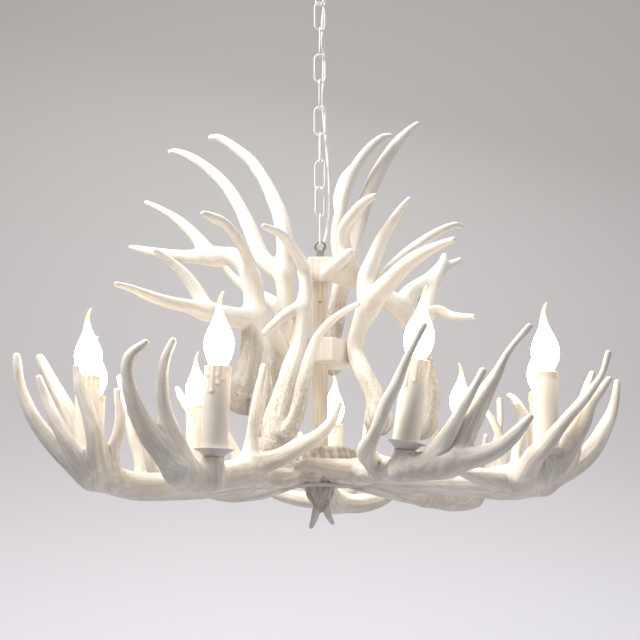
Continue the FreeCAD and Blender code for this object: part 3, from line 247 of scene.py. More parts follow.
UPPER_ANTLERS = {
    1: [
        [(-63, -104, 16, 15), (-59, -98, 48, 16), (-50, -84, 82, 13.5), (-40, -64, 125, 12),
         (-31, -50, 155, 11.5), (-24, -40, 206, 10.5), (-20, -27, 246, 9.5), (-23, -28, 272, 9),
         (-37, -58, 291, 7.5), (-53, -98, 302, 6), (-74, -142, 301, 3.2)],
        [(-56, -104, 26, 13), (-39, -116, 36, 10.5), (-27, -126, 65, 9.4), (-22, -130, 93, 8.6),
         (-14, -130, 126, 7.4), (-4, -130, 153, 6), (13, -138, 173, 4.8), (31, -148, 185, 3.4),
         (48, -160, 192, 2.6)],
        [(-25, -38, 213, 8), (-47, -52, 201, 7.5), (-74, -74, 171, 5)],
    ],
    2: [
        [(-110, -22, 91, 22), (-101, -24, 121, 17), (-95, -22, 162, 16), (-93, -18, 206, 15),
         (-95, -14, 243, 14.5), (-105, -8, 276, 13.5), (-127, 5, 296, 13.5), (-158, 19, 301, 12.5),
         (-179, 35, 329, 9.6), (-209, 50, 361, 7.6), (-237, 63, 382, 5.4), (-264, 75, 398, 3.2)],
        [(-152, 16, 300, 11), (-182, 25, 301, 9.8), (-210, 42, 307, 9), (-239, 60, 315, 7.8),
         (-265, 78, 324, 5.8), (-289, 95, 333, 3.2)],
        [(-95, -20, 201, 12), (-119, -36, 199, 14), (-159, -56, 204, 12), (-183, -72, 208, 9.4),
         (-206, -88, 210, 8.6), (-231, -105, 216, 7), (-252, -121, 222, 4.4), (-268, -135, 224, 3)],
        [(-157, -54, 205, 10), (-170, -50, 231, 9.6), (-188, -52, 256, 8), (-208, -59, 274, 5.4),
         (-227, -70, 286, 3)],
        [(-97, -15, 252, 10), (-103, -36, 284, 8), (-115, -55, 307, 7.6), (-132, -73, 324, 7),
         (-148, -91, 328, 6), (-158, -105, 329, 3.5)],
        [(-98, -22, 108, 12), (-74, -16, 130, 12.5), (-58, -12, 153, 14), (-71, -14, 182, 12.5),
         (-91, -17, 208, 11)],
        [(-77, -38, 46, 14), (-77, -34, 78, 19), (-75, -28, 118, 18), (-76, -24, 158, 15),
         (-88, -20, 200, 12)],
        [(-125, -34, 92, 8), (-112, -28, 84, 14), (-96, -22, 78, 14)],
    ],
    3: [
        [(-80, 84, 81, 20), (-74, 64, 112, 14), (-60, 30, 152, 13.5), (-54, 34, 197, 12.5),
         (-50, 36, 240, 12.5), (-53, 38, 281, 12.5), (-52, 44, 324, 12.5), (-59, 54, 368, 12),
         (-72, 66, 405, 10.4), (-87, 76, 437, 9.2), (-108, 87, 470, 8.4), (-137, 98, 497, 7),
         (-158, 107, 513, 5), (-172, 115, 517, 3.2)],
        [(-53, 39, 277, 12), (-83, 53, 303, 12), (-105, 74, 354, 11.4), (-121, 89, 391, 10),
         (-141, 103, 427, 9.4), (-171, 117, 462, 8.4), (-203, 130, 488, 7), (-228, 141, 502, 4.6),
         (-240, 150, 505, 3.2)],
        [(-52, 36, 220, 10), (-75, 66, 245, 9), (-106, 84, 264, 7), (-134, 96, 289, 5),
         (-150, 100, 312, 3.2)],
    ],
    4: [
        [(19, 66, 146, 14), (17, 58, 160, 14), (19, 52, 199, 12.5),
         (27, 46, 241, 12.5), (37, 42, 282, 12.5), (48, 46, 317, 12), (60, 58, 366, 11.4),
         (76, 72, 418, 11), (97, 84, 463, 10.4), (120, 95, 501, 8), (138, 105, 524, 5),
         (153, 112, 538, 3.2)],
        [(36, 42, 276, 11), (25, 39, 330, 9.4), (31, 42, 377, 8.6), (38, 48, 409, 8.6),
         (51, 54, 443, 8.4), (73, 60, 477, 7.6), (94, 68, 499, 5), (107, 75, 505, 3.2)],
        [(46, 46, 309, 10), (35, 67, 361, 9), (28, 88, 407, 8), (37, 107, 445, 7), (50, 125, 470, 4)],
        [(22, 52, 210, 10), (-3, 80, 239, 8), (-21, 96, 267, 6), (-31, 104, 297, 3.2)],
    ],
    5: [
        [(79, -76, 50, 20), (76, -66, 78, 14), (66, -52, 106, 12.5), (52, -30, 140, 12),
         (50, -28, 164, 12), (60, -42, 196, 13), (76, -60, 221, 13.5), (95, -80, 240, 12.5),
         (117, -107, 258, 10.6), (139, -134, 268, 8), (158, -160, 272, 5), (171, -183, 272, 3.2)],
        [(66, -50, 207, 12), (64, -48, 249, 12), (73, -52, 274, 10.6), (86, -62, 304, 9),
         (100, -73, 326, 7), (113, -85, 344, 4.2), (122, -95, 352, 3)],
        [(75, -58, 222, 10), (91, -38, 257, 8.6), (117, -31, 287, 7.6), (142, -27, 308, 6.8),
         (171, -23, 327, 5.8), (192, -18, 337, 4), (202, -10, 338, 3.2)],
    ],
    6: [
        [(140, -10, 55, 24), (148, -10, 89, 20), (147, -6, 129, 15), (141, 0, 166, 14),
         (132, 4, 194, 14), (115, 6, 218, 14), (92, 4, 237, 14.5), (66, 0, 256, 16),
         (43, -6, 265, 16), (22, -8, 269, 14.5)],
        [(115, 6, 222, 12), (131, 24, 247, 12), (160, 52, 272, 10), (189, 83, 298, 7),
         (215, 115, 318, 3.2)],
        [(139, 2, 186, 11), (150, 16, 208, 11.5), (158, 36, 239, 11.5), (173, 57, 278, 8.4),
         (184, 75, 304, 5), (189, 90, 319, 3.2)],
        [(149, 12, 208, 9), (167, -4, 216, 7.4), (183, -22, 205, 6.2), (198, -40, 199, 4.4),
         (210, -60, 195, 3)],
        [(48, -6, 264, 10), (36, -20, 297, 10), (34, -40, 325, 9), (48, -63, 342, 8),
         (62, -85, 352, 6), (74, -105, 354, 3.2)],
        [(12, -22, 267, 9), (22, -32, 275, 9), (33, -38, 284, 8), (42, -41, 291, 4.5)],
    ],
}

# A burr: its share of the usual reach, its share of the usual height, and the level under which the
# foot of a side branch has one too.
BEAM_ONLY = -1000.0
LOWER_BURR = (0.4, 0.7, BEAM_ONLY)
UPPER_BURR = (1.0, 1.0, 100.0)
SLIGHT_UPPER_BURR = (0.7, 0.5, 100.0)
SLIGHT_BURR_ANTLERS = (5,)

# A tip thinner than this gets a little extra radius that fades over the reach, so that it ends blunt.
THIN_TIP = 4.9
BLUNT_TIP = 0.9
BLUNT_REACH = 32.0
LEAST_RADIUS = 1.2

# The cord's route in metres, in the frame: down from the ceiling to the clip, and on to the cap.
CORD_UPPER = [(0.022, 0, -0.016), (0.022, 0, -0.036), (0.0176, 0.0029, -0.056), (0.012, 0.0067, -0.071),
              (0.010, 0.008, -0.0802), (0.010, 0.008, -0.0876)]
CORD_LOWER = [(0.010, 0.008, -0.0876), (0.010, 0.008, -0.0966), (0.0095, 0.0095, -0.1116),
              (0.006, 0.0125, -0.1416), (0.0025, 0.0133, -0.1816), (0.0065, 0.012, -0.2216),
              (0.005, 0.0134, -0.2616), (0.0045, 0.013, -0.3016), (0.008, 0.011, -0.3416),
              (0.0115, 0.008, -0.3816), (0.0145, 0.006, -0.4216), (0.014, 0.007, -0.4616),
              (0.011, 0.0087, -0.4896), (0.0065, 0.0093, -0.5096), (0.003, 0.0072, -0.5216),
              (0.002, 0.0064, -0.5306), (0.002, 0.0064, -0.5393)]
CORD_DIAMETER = 0.005
CORD_UPPER_LENGTH = 0.074
CORD_LOWER_LENGTH = 0.455
# Each cord: its node, its route, its length, the bodies at its two ends, and two points of its route.
CORDS = (
    ("cord_upper", CORD_UPPER, CORD_UPPER_LENGTH, "ceiling", "chain", CORD_UPPER[1], CORD_UPPER[-2]),
    ("cord_lower", CORD_LOWER, CORD_LOWER_LENGTH, "chain", "lamp", CORD_LOWER[-5], CORD_LOWER[-2]),
)

# The camera stands in front of the lamp, under the level of the pans, and looks up a little.
CAMERA_DISTANCE = 1.632
CAMERA_UNDER_LEVEL = 111.0
CAMERA_TILT = 10.86
SENSOR_WIDTH = 36.0
# where each light stands, its size (both in metres) and its tint; all face the middle of the lamp
LAMPS = {
    "key": ((-1.25, -0.65, 1.1), 1.2, (1.0, 0.985, 0.96)),
    "fill": ((2.0, -1.2, -0.3), 2.0, (0.96, 0.98, 1.0)),
    "above": ((0.5, 0.7, 1.3), 1.6, (1.0, 0.99, 0.98)),
}
LAMP_MIDDLE = 120.0


# ---------------------------------------------------------------- small maths on whole arrays
def unit(vectors):
    """Each vector divided by its length."""
    return vectors / np.maximum(np.linalg.norm(vectors, axis=-1, keepdims=True), 1e-9)


def ramp(low, high, values):
    """Nothing below low, one above high, and the cubic 3t^2 - 2t^3 between."""
    t = np.clip((values - low) / (high - low), 0, 1)
    return t * t * (3 - 2 * t)


def lattice(cells, seed):
    """A fixed pseudo-random number from 0 to 1 for each whole-number cell: the fraction of a large
    multiple of the sine of the cell's numbers, each times its own factor."""
    wave = np.sin(cells @ np.array([127.1, 311.7, 74.7]) + seed * 19.19) * 43758.5453
    return wave - np.floor(wave)


def noise(points, size, seed=0):
    """Smooth noise from -1 to 1: the eight corners of each cell of that size, mixed by cubic weights."""
    at = points / size
    cell = np.floor(at)
    part = at - cell
    weight = part * part * (3 - 2 * part)
    total = np.zeros(len(points))
    for corner in ((0, 0, 0), (1, 0, 0), (0, 1, 0), (1, 1, 0), (0, 0, 1), (1, 0, 1), (0, 1, 1), (1, 1, 1)):
        share = np.prod(np.where(corner, weight, 1 - weight), axis=1)
        total += share * lattice(cell + corner, seed)
    return 2 * total - 1


def pearls(points, size, seed=0):
    """Rounded grains: one minus 1.6 times the squared distance to the nearest of one random point per
    cell, and nothing below zero."""
    at = points / size
    cell = np.floor(at)
    nearest = np.full(len(points), 9.0)
    for shift in np.stack(np.meshgrid((-1, 0, 1), (-1, 0, 1), (-1, 0, 1)), -1).reshape(-1, 3):
        there = cell + shift
        spot = there + np.stack([lattice(there, seed + k) for k in range(3)], 1)
        nearest = np.minimum(nearest, ((at - spot) ** 2).sum(1))
    return np.clip(1 - nearest * 1.6, 0, 1)


def smooth_curve(points, steps):
    """A curve through the points (any number of columns), with that many steps a span. Each span is
    the cubic whose slope at a point is half the step from the point before it to the point after it."""
    points = np.asarray(points, float)
    full = np.vstack([2 * points[0] - points[1], points, 2 * points[-1] - points[-2]])
    t = (np.arange(steps) / steps)[None, :, None]
    a, b, c, d = (full[k:len(full) - 3 + k, None] for k in range(4))
    square, cube = 2 * a - 5 * b + 4 * c - d, 3 * b - a - 3 * c + d
    spans = 0.5 * (2 * b + (c - a) * t + square * t ** 2 + cube * t ** 3)
    return np.vstack([spans.reshape(-1, points.shape[1]), points[-1]])


def path_frames(centres):
    """Unit tangent, side and up at each centre; up leans on the normal of the curve's best plane."""
    ahead = unit(np.gradient(centres, axis=0))
    normal = np.linalg.svd(centres - centres.mean(0), full_matrices=False)[2][-1]
    side = unit(np.cross(ahead, normal))
    return ahead, side, np.cross(side, ahead)


# ---------------------------------------------------------------- meshes
def grid_faces(rows, columns, wrap_columns=True, wrap_rows=False):
    """Quads of a grid of points, row after row, as one array of corner numbers."""
    last_row = rows if wrap_rows else rows - 1
    last_column = columns if wrap_columns else columns - 1
    r, c = np.meshgrid(np.arange(last_row), np.arange(last_column), indexing="ij")
    right, above = (c + 1) % columns, (r + 1) % rows
    corners = (r * columns + c, r * columns + right, above * columns + right, above * columns + c)
    return np.stack(corners, -1).reshape(-1, 4)


def capped(grid):
    """A tube of rings closed with a fan to the middle of its first and of its last ring."""
    rows, columns = grid.shape[:2]
    points = np.vstack([grid.reshape(-1, 3), grid[0].mean(0), grid[-1].mean(0)])
    here = np.arange(columns)
    after = (here + 1) % columns
    first = np.stack([after, here, np.full(columns, rows * columns)], 1)
    end = (rows - 1) * columns
    last = np.stack([end + here, end + after, np.full(columns, rows * columns + 1)], 1)
    return points, grid_faces(rows, columns).tolist() + first.tolist() + last.tolist()


def ringed(grid):
    """A tube whose rows and columns both close, such as a link or a turned ring."""
    rows, columns = grid.shape[:2]
    return grid.reshape(-1, 3), grid_faces(rows, columns, True, True).tolist()


def joined(surfaces):
    """Several surfaces, each as its points and faces, as one."""
    points, faces, start = [], [], 0
    for some, corners in surfaces:
        points.append(some)
        faces += [[start + i for i in face] for face in corners]
        start += len(some)
    return np.vstack(points), faces


def mesh_object(name, surface, scale=MM, sharp=None):
    """An object at the origin with that surface, brought from millimetres to metres unless scale says
    otherwise. Edges sharper than the angle called sharp, in degrees, stay sharp."""
    points, faces = surface
    mesh = bpy.data.meshes.new(name)
    mesh.from_pydata((np.asarray(points) * scale).tolist(), [], faces)
    mesh.update()
    mesh.shade_smooth()
    if sharp:
        mesh.set_sharp_from_angle(angle=math.radians(sharp))
    made = bpy.data.objects.new(name, mesh)
    bpy.context.scene.collection.objects.link(made)
    return made


def mesh_points(mesh):
    """A mesh's points as an array."""
    points = np.zeros(len(mesh.vertices) * 3)
    mesh.vertices.foreach_get("co", points)
    return points.reshape(-1, 3)


def finished_mesh(made):
    """The object's mesh with its modifiers worked in; the modifiers are then removed."""
    graph = bpy.context.evaluated_depsgraph_get()
    graph.update()
    mesh = bpy.data.meshes.new_from_object(made.evaluated_get(graph))
    made.modifiers.clear()
    made.data = mesh
    return mesh


def write_attribute(mesh, name, values):
    """A number or a vector for each point, for the materials to read."""
    values = np.asarray(values, np.float32)
    kind, key = ("FLOAT_VECTOR", "vector") if values.ndim == 2 else ("FLOAT", "value")
    mesh.attributes.new(name, kind, "POINT").data.foreach_set(key, values.ravel())


def paint(made, material):
    """Gives an object that one material."""
    made.data.materials.clear()
    made.data.materials.append(material)


def dress(made, material, node=None):
    """Gives a finished piece its material and hides the node it stands for, if it stands for one."""
    paint(made, material)
    if node:
        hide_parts(node)


def place_piece(made, body, material, node=None):
    """Dresses a finished piece and lets the body carry it."""
    dress(made, material, node)
    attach(made, body)


# ---------------------------------------------------------------- shapes of two parameters
def circle(sides):
    """Evenly spaced angles once round, from nothing up to the last before a full turn."""
    return np.arange(sides) * 2 * math.pi / sides


def lathe(profile, sides=64, bumps=None):
    """A profile of (radius, height) turned about Z; bumps(angle, height) is added to the radius."""
    profile = np.asarray(profile, float)
    angle = circle(sides)[None, :]
    shape = (len(profile), sides)
    radius, height = np.broadcast_to(profile[:, :1], shape), np.broadcast_to(profile[:, 1:], shape)
    if bumps is not None:
        radius = radius + bumps(np.broadcast_to(angle, shape), height) * (radius > 0.5)
    return np.stack([radius * np.cos(angle), radius * np.sin(angle), height], -1)


def rounded(profile, radius=0.8, steps=3):
    """A profile whose inner corners are cut by short quadratic curves of about that radius."""
    profile = np.asarray(profile, float)
    out = [profile[:1]]
    t = np.linspace(0, 1, steps + 1)[:, None]
    for before, corner, after in zip(profile, profile[1:], profile[2:]):
        back, ahead = before - corner, after - corner
        reach = min(radius, 0.45 * np.linalg.norm(back), 0.45 * np.linalg.norm(ahead))
        start = corner + unit(back) * reach
        end = corner + unit(ahead) * reach
        out.append((1 - t) ** 2 * start + 2 * t * (1 - t) * corner + t ** 2 * end)
    out.append(profile[-1:])
    return np.vstack(out)


def tube(path, radii, sides=28):
    """A round section of the given radii carried along a path. At each end three more rings, shrunk
    by the cosine and moved out by the sine of an angle, make a dome."""
    ahead, side, up = path_frames(path)
    dome = np.radians([75, 50, 25])
    start = path[0] - ahead[0] * np.sin(dome)[:, None] * radii[0]
    end = path[-1] + ahead[-1] * np.sin(dome[::-1])[:, None] * radii[-1]
    path = np.vstack([start, path, end])
    radii = np.concatenate([radii[0] * np.cos(dome), radii, radii[-1] * np.cos(dome[::-1])])
    side = np.vstack([side[:1]] * len(dome) + [side] + [side[-1:]] * len(dome))
    up = np.vstack([up[:1]] * len(dome) + [up] + [up[-1:]] * len(dome))
    angle = circle(sides)[None, :, None]
    spread = radii[:, None, None]
    return path[:, None] + spread * (np.cos(angle) * side[:, None] + np.sin(angle) * up[:, None])


def soft_prism(corners, low, high, edge=1.2, sides=16):
    """An upright prism on a convex outline with rounded uprights and rounded top and bottom edges.

    Each corner becomes a quadratic curve that starts and ends edge away from it. Near both ends the
    rings shrink by edge times one minus the cosine, and rise by edge times the sine."""
    corners = np.asarray(corners, float)
    centre = corners.mean(0)
    before, after = np.roll(corners, 1, 0), np.roll(corners, -1, 0)
    t = np.linspace(0, 1, 5)[None, :, None]
    start = corners + unit(before - corners) * edge
    end = corners + unit(after - corners) * edge
    arc = (1 - t) ** 2 * start[:, None] + 2 * t * (1 - t) * corners[:, None] + t ** 2 * end[:, None]
    outline = arc.reshape(-1, 2)
    step = np.linspace(0, math.pi / 2, 4)
    rise, shrink = edge * (1 - np.sin(step)), edge * (1 - np.cos(step))
    wall = np.linspace(low + edge, high - edge, sides)[1:-1]
    heights = np.concatenate([low + rise[::-1], wall, high - rise])
    inset = np.concatenate([shrink[::-1], np.zeros(len(wall)), shrink])
    reach = np.linalg.norm(outline - centre, axis=1)
    ring = centre + (outline - centre)[None] * (1 - inset[:, None] / reach[None])[:, :, None]
    upright = np.broadcast_to(heights[:, None, None], ring.shape[:2] + (1,))
    return np.concatenate([ring, upright], -1)


def rectangle(width, depth):
    """The corners of a rectangle round the axis."""
    return np.array([(-1, -1), (1, -1), (1, 1), (-1, 1)]) * (width / 2, depth / 2)


def at_azimuth(azimuth, distance):
    """A point that far from the axis, at an angle in degrees from the front to the viewer's right."""
    angle = math.radians(azimuth)
    return np.array([distance * math.sin(angle), -distance * math.cos(angle)])


def lights():
    """By number: the spot of each pan's floor (mm) and the candle's three axes, from the bulbs' joints."""
    found = {}
    for joint in frame["joints"]:
        if joint["child"].startswith("bulb_"):
            up = np.array(joint["axis"], float)
            right = unit(np.cross((0, 1, 0), up))
            axes = np.stack([right, np.cross(up, right), up])
            found[int(joint["child"].removeprefix("bulb_"))] = (np.array(joint["pos_m"]) / MM, axes)
    return found


def at_light(grid, light):
    """Points of a light's own frame (pan floor at zero, +Z along the candle) carried to its spot."""
    spot, axes = light
    return spot + grid @ axes


# ---------------------------------------------------------------- branches with soft forks
class Branch:
    """A branch as short cones along a smooth line; it says where any point lies on it."""

    def __init__(self, points):
        curve = smooth_curve(points, 4)
        self.path = curve[:, :3]
        self.side, self.up = path_frames(self.path)[1:]
        self.runs = np.diff(self.path, axis=0)
        self.run_lengths = np.linalg.norm(self.runs, axis=1)
        self.starts = np.concatenate([[0], np.cumsum(self.run_lengths)])
        self.length = self.starts[-1]
        blunt = BLUNT_TIP * np.exp(-((self.length - self.starts) / BLUNT_REACH) ** 2)
        self.radii = np.maximum(curve[:, 3], LEAST_RADIUS) + blunt * (curve[-1, 3] < THIN_TIP)

    def surface(self):
        """The closed tube of this branch alone."""
        return capped(tube(self.path, self.radii))

    def locate(self, points):
        """Distance to the surface, direction outwards, mm along, angle round and radius, at each point.

        The nearest cone is the one whose axis distance less its own radius there is least."""
        away = points[:, None] - self.path[None, :-1]
        t = np.clip((away * self.runs).sum(2) / self.run_lengths ** 2, 0, 1)
        away -= t[:, :, None] * self.runs
        reach = np.linalg.norm(away, axis=2)
        radius = self.radii[:-1] + t * np.diff(self.radii)
        gap = reach - radius
        best = gap.argmin(1)
        row = np.arange(len(points))
        out = away[row, best] / np.maximum(reach[row, best], 1e-6)[:, None]
        angle = np.arctan2((out * self.up[best]).sum(1), (out * self.side[best]).sum(1))
        along = self.starts[best] + t[row, best] * self.run_lengths[best]
        return gap[row, best], out, along, angle, radius[row, best]


def furrows(along, angle, seed):
    """Grooves that run along a branch, from -1 to 1: sines of the angle, each with its own count of
    waves round and its share, whose phase wanders with the length."""
    waves = ((3, 0.5), (5, 0.8), (9, 0.7), (14, 0.45))
    total = np.zeros(len(along))
    for count, share in waves:
        phase = lattice(np.array([[count, seed, 3.0]]), 1)[0] * 6.28
        wander = np.sin(along / 47.0 + phase * 3) + 0.6 * np.sin(along / 19.0 + phase * 5)
        total += share * np.sin(count * angle + phase + 0.7 * wander)
    return total / sum(share for _, share in waves)


class Antler:
    """Branches joined by a soft minimum of their distances, with furrows, lumps and a grainy burr."""

    def __init__(self, branches, seed, fork, furrow, burr_reach, burr_height, burr_level=BEAM_ONLY):
        self.branches = [Branch(points) for points in branches]
        self.burr_level = burr_level
        self.seed = seed
        self.fork = fork
        self.furrow = furrow
        self.burr_reach = burr_reach
        self.burr_height = burr_height

    def blended(self, points):
        """Distance to the antler, its slope, each branch's share and where each branch has the point.

        The distance is the soft minimum over the branches: minus the fork's softness times the
        logarithm of the sum of exp(-distance / softness). A branch's share is its part of that sum."""
        found = [branch.locate(points) for branch in self.branches]
        gaps = np.stack([where[0] for where in found])
        least = gaps.min(0)
        shares = np.exp(-(gaps - least) / self.fork)
        total = shares.sum(0)
        shares /= total
        slope = sum(share[:, None] * where[1] for share, where in zip(shares, found))
        return least - self.fork * np.log(total), slope, shares, found

    def relief(self, points, shares, found):
        """Height of the furrows, lumps and grains at each point, how near the burr it is, and where it
        lies on its branch: along it and across it, as coordinates for the materials."""
        height = np.zeros(len(points))
        burr = np.zeros(len(points))
        grain = np.zeros((len(points), 3))
        for number, (branch, share, where) in enumerate(zip(self.branches, shares, found)):
            along, angle, radius = where[2:]
            foot = 1 - ramp(0.2, 0.8, along / branch.length)
            thick = ramp(6, 15, radius)
            grooves = furrows(along, angle, self.seed + number)
            height += share * grooves * self.furrow * thick * (0.2 + 0.8 * foot)
            spot = (along + 90 * number, radius * np.cos(angle), radius * np.sin(angle))
            grain += share[:, None] * np.stack(spot, 1)
            if number == 0 or branch.path[0, 2] < self.burr_level:
                burr += share * (1 - ramp(0.3 * self.burr_reach, self.burr_reach, along))
        height += 0.4 * noise(points, 30, self.seed)
        height += 0.2 * self.furrow * noise(points, 8, self.seed + 5)
        stretched = grain * (0.35, 1.0, 1.0)
        grains = pearls(stretched, 4.0, self.seed) * 0.8 + pearls(stretched, 8.5, self.seed + 3) * 0.4
        height += burr * burr * self.burr_height * (grains - 0.45)
        return height, burr, grain

    def piece(self, name, voxel):
        """The antler as an object, in millimetres: tubes joined by a voxel grid, drawn on to the soft
        minimum of the distances, and raised by the relief."""
        made = mesh_object(name, joined([branch.surface() for branch in self.branches]), scale=1.0)
        grid = made.modifiers.new("Grid", "REMESH")
        grid.mode = "VOXEL"
        grid.voxel_size = voxel
        ease = made.modifiers.new("Ease", "SMOOTH")
        ease.factor = 0.5
        ease.iterations = 3
        mesh = finished_mesh(made)
        points = mesh_points(mesh)
        for _ in range(3):
            gap, slope = self.blended(points)[:2]
            steep = np.maximum((slope ** 2).sum(1), 0.2)
            points -= np.clip(gap / steep, -2, 2)[:, None] * slope
        _, slope, shares, found = self.blended(points)
        height, burr, grain = self.relief(points, shares, found)
        points += height[:, None] * unit(slope)
        mesh.vertices.foreach_set("co", points.ravel())
        write_attribute(mesh, "grain", grain)
        write_attribute(mesh, "relief", height)
        write_attribute(mesh, "burr", burr)
        return made


def cut_out(made, grid):
    """Takes the space inside a grid of rings, closed at both ends, out of a piece."""
    cutter = mesh_object("cutter", capped(grid), scale=1.0)
    cut = made.modifiers.new("Cut", "BOOLEAN")
    cut.operation = "DIFFERENCE"
    cut.solver = "MANIFOLD"
    cut.object = cutter
    finished_mesh(made)
    bpy.data.objects.remove(cutter)


def to_metres(made):
    """Brings a piece made in millimetres over the lamp level to its place in the frame."""
    points = mesh_points(made.data)
    made.data.vertices.foreach_set("co", ((points + (0, 0, LEVEL)) * MM).ravel())
    made.data.shade_smooth()
    made.data.update()


# ---------------------------------------------------------------- materials
class Value:
    """A number socket of a material; arithmetic on it adds Math nodes."""

    def __init__(self, finish, socket):
        self.finish = finish
        self.socket = socket

    def _math(self, operation, first, second):
        """A Math node's result as a new value."""
        return self.finish.out("ShaderNodeMath", {"operation": operation}, {0: first, 1: second})

    def __add__(self, other):
        return self._math("ADD", self, other)

    def __radd__(self, other):
        return self._math("ADD", other, self)

    def __sub__(self, other):
        return self._math("SUBTRACT", self, other)

    def __rsub__(self, other):
        return self._math("SUBTRACT", other, self)

    def __mul__(self, other):
        return self._math("MULTIPLY", self, other)

    def __rmul__(self, other):
        return self._math("MULTIPLY", other, self)


class Finish:
    """A material under construction: one shader, and one method that adds any node."""

    def __init__(self, name, **numbers):
        self.material = bpy.data.materials.new(name)
        self.material.use_nodes = True
        self.tree = self.material.node_tree
        self.shader = self.tree.nodes["Principled BSDF"]
        self.set(**numbers)

    def node(self, kind, settings=None, inputs=None):
        """Adds a node, sets its properties first and then its sockets, by value or by link."""
        made = self.tree.nodes.new(kind)
        for key, value in (settings or {}).items():
            setattr(made, key, value)
        for key, value in (inputs or {}).items():
            self.join(made.inputs[key], value)
        return made

    def join(self, socket, value):
        """Links a Value or an output socket, or writes a number or a colour."""
        if isinstance(value, Value):
            value = value.socket
        if isinstance(value, bpy.types.NodeSocket):
            self.tree.links.new(value, socket)
        elif socket.type == "RGBA" and len(value) == 3:
            socket.default_value = (*value, 1)
        else:
            socket.default_value = value

    def out(self, kind, settings=None, inputs=None, output=0):
        """A new node's output as a Value."""
        return Value(self, self.node(kind, settings, inputs).outputs[output])

    def set(self, **numbers):
        """Writes or links the shader's own sockets; Base_Color stands for Base Color."""
        for key, value in numbers.items():
            self.join(self.shader.inputs[key.replace("_", " ")], value)

    def mix(self, factor, first, second):
        """A colour between two colours: the first where the factor is nothing."""
        inputs = {0: factor, 6: first, 7: second}
        return self.node("ShaderNodeMix", {"data_type": "RGBA"}, inputs).outputs[2]

    def attribute(self, name, output="Fac"):
        """A piece's own attribute, as a number or, from the output Vector, as a vector."""
        return self.out("ShaderNodeAttribute", {"attribute_name": name}, None, output)

    def place(self, scale=(1, 1, 1), source=None):
        """Object coordinates, or another vector, stretched by that scale."""
        if source is None:
            source = self.node("ShaderNodeTexCoord").outputs["Object"]
        return self.node("ShaderNodeMapping", None, {"Vector": source, "Scale": scale}).outputs[0]

    def noise(self, vector, scale, detail=3.0, roughness=0.55):
        """Soft noise from 0 to 1."""
        inputs = {"Vector": vector, "Scale": scale, "Detail": detail, "Roughness": roughness}
        return self.out("ShaderNodeTexNoise", None, inputs)

    def between(self, value, low, high):
        """Nothing below low and one above high, smoothly."""
        settings = {"interpolation_type": "SMOOTHSTEP"}
        return self.out("ShaderNodeMapRange", settings, {"Value": value, "From Min": low, "From Max": high})

    def bump(self, height, distance, strength=1.0):
        """Fine relief; the distance is in metres."""
        inputs = {"Height": height, "Distance": distance, "Strength": strength}
        self.set(Normal=self.node("ShaderNodeBump", None, inputs).outputs[0])

    def leave_unsampled(self):
        """Keeps a faint glow from being sampled as a lamp."""
        self.material.cycles.emission_sampling = "NONE"


def antler_resin(look, name, burr_share=1.0, age=1.0):
    """Matte ivory resin: streaks along the branch, browner hollows, and burrs of raised threads with
    browner pits. The burr shows by the share called burr_share, the streaks and hollows by age."""
    finish = Finish(name, Roughness=0.62, Specular_IOR_Level=0.3)
    grain = finish.attribute("grain", "Vector").socket
    relief = finish.attribute("relief")
    burr = finish.attribute("burr")
    streaks = finish.noise(finish.place((0.03, 0.26, 0.26), grain), 1.0, 3, 0.55)
    hairs = finish.noise(finish.place((0.04, 0.75, 0.75), grain), 1.0, 2, 0.5)
    clouds = finish.noise(finish.place(), 9, 3)
    pits = finish.noise(finish.place(), 420, 3, 0.65)
    threads = finish.noise(finish.place((0.11, 0.42, 0.42), grain), 1.0, 4, 0.7)
    dots = finish.noise(finish.place((0.32, 0.6, 0.6), grain), 1.0, 2, 0.5)
    rough = finish.between(burr * burr_share, 0.02, 0.45)
    thread = finish.between(threads, 0.40, 0.58)
    pit = finish.between(dots, 0.52, 0.62)
    hollow = 1 - finish.between(relief, -0.75, 0.35)
    colour = finish.mix(1 - (1 - finish.between(streaks, 0.38, 0.66)) * age, look.streak, look.ivory)
    colour = finish.mix(finish.between(clouds, 0.42, 0.72) * 0.35, colour, look.warm)
    colour = finish.mix(hollow * (0.7 * age), colour, look.hollow)
    colour = finish.mix(rough * (1 - thread) * 0.16, colour, look.burr)
    colour = finish.mix(rough * pit * 0.5, colour, look.burr)
    finish.set(Base_Color=colour, Roughness=0.56 + 0.22 * hairs)
    finish.bump(hairs * 0.5 + streaks * 0.6 + pits * 0.15 + rough * (thread * 0.6 - pit * 0.7), 0.001)
    return finish.material


def candle_cream(look):
    """Cream candle tube: faint clouds, browner along the edges of the drips, and lit from inside
    towards the top."""
    finish = Finish("candle_cream", Roughness=0.42, Emission_Strength=look.lit)
    wax = finish.attribute("drip")
    height = finish.attribute("height")
    clouds = finish.noise(finish.place(), 45, 3)
    colour = finish.mix(finish.between(clouds, 0.35, 0.7) * 0.4, look.cream, look.cream_dark)
    colour = finish.mix(finish.between(wax, 0.02, 0.35) * (1 - finish.between(wax, 0.35, 0.75)) * 0.75,
                        colour, look.drip_edge)
    lit = finish.between(height, 0.45, 1.05)
    finish.set(Base_Color=colour, Roughness=0.36 + 0.2 * clouds,
               Emission_Color=finish.mix(lit, (0, 0, 0), look.lit_colour))
    finish.bump(clouds, 0.0004)
    finish.leave_unsampled()
    return finish.material


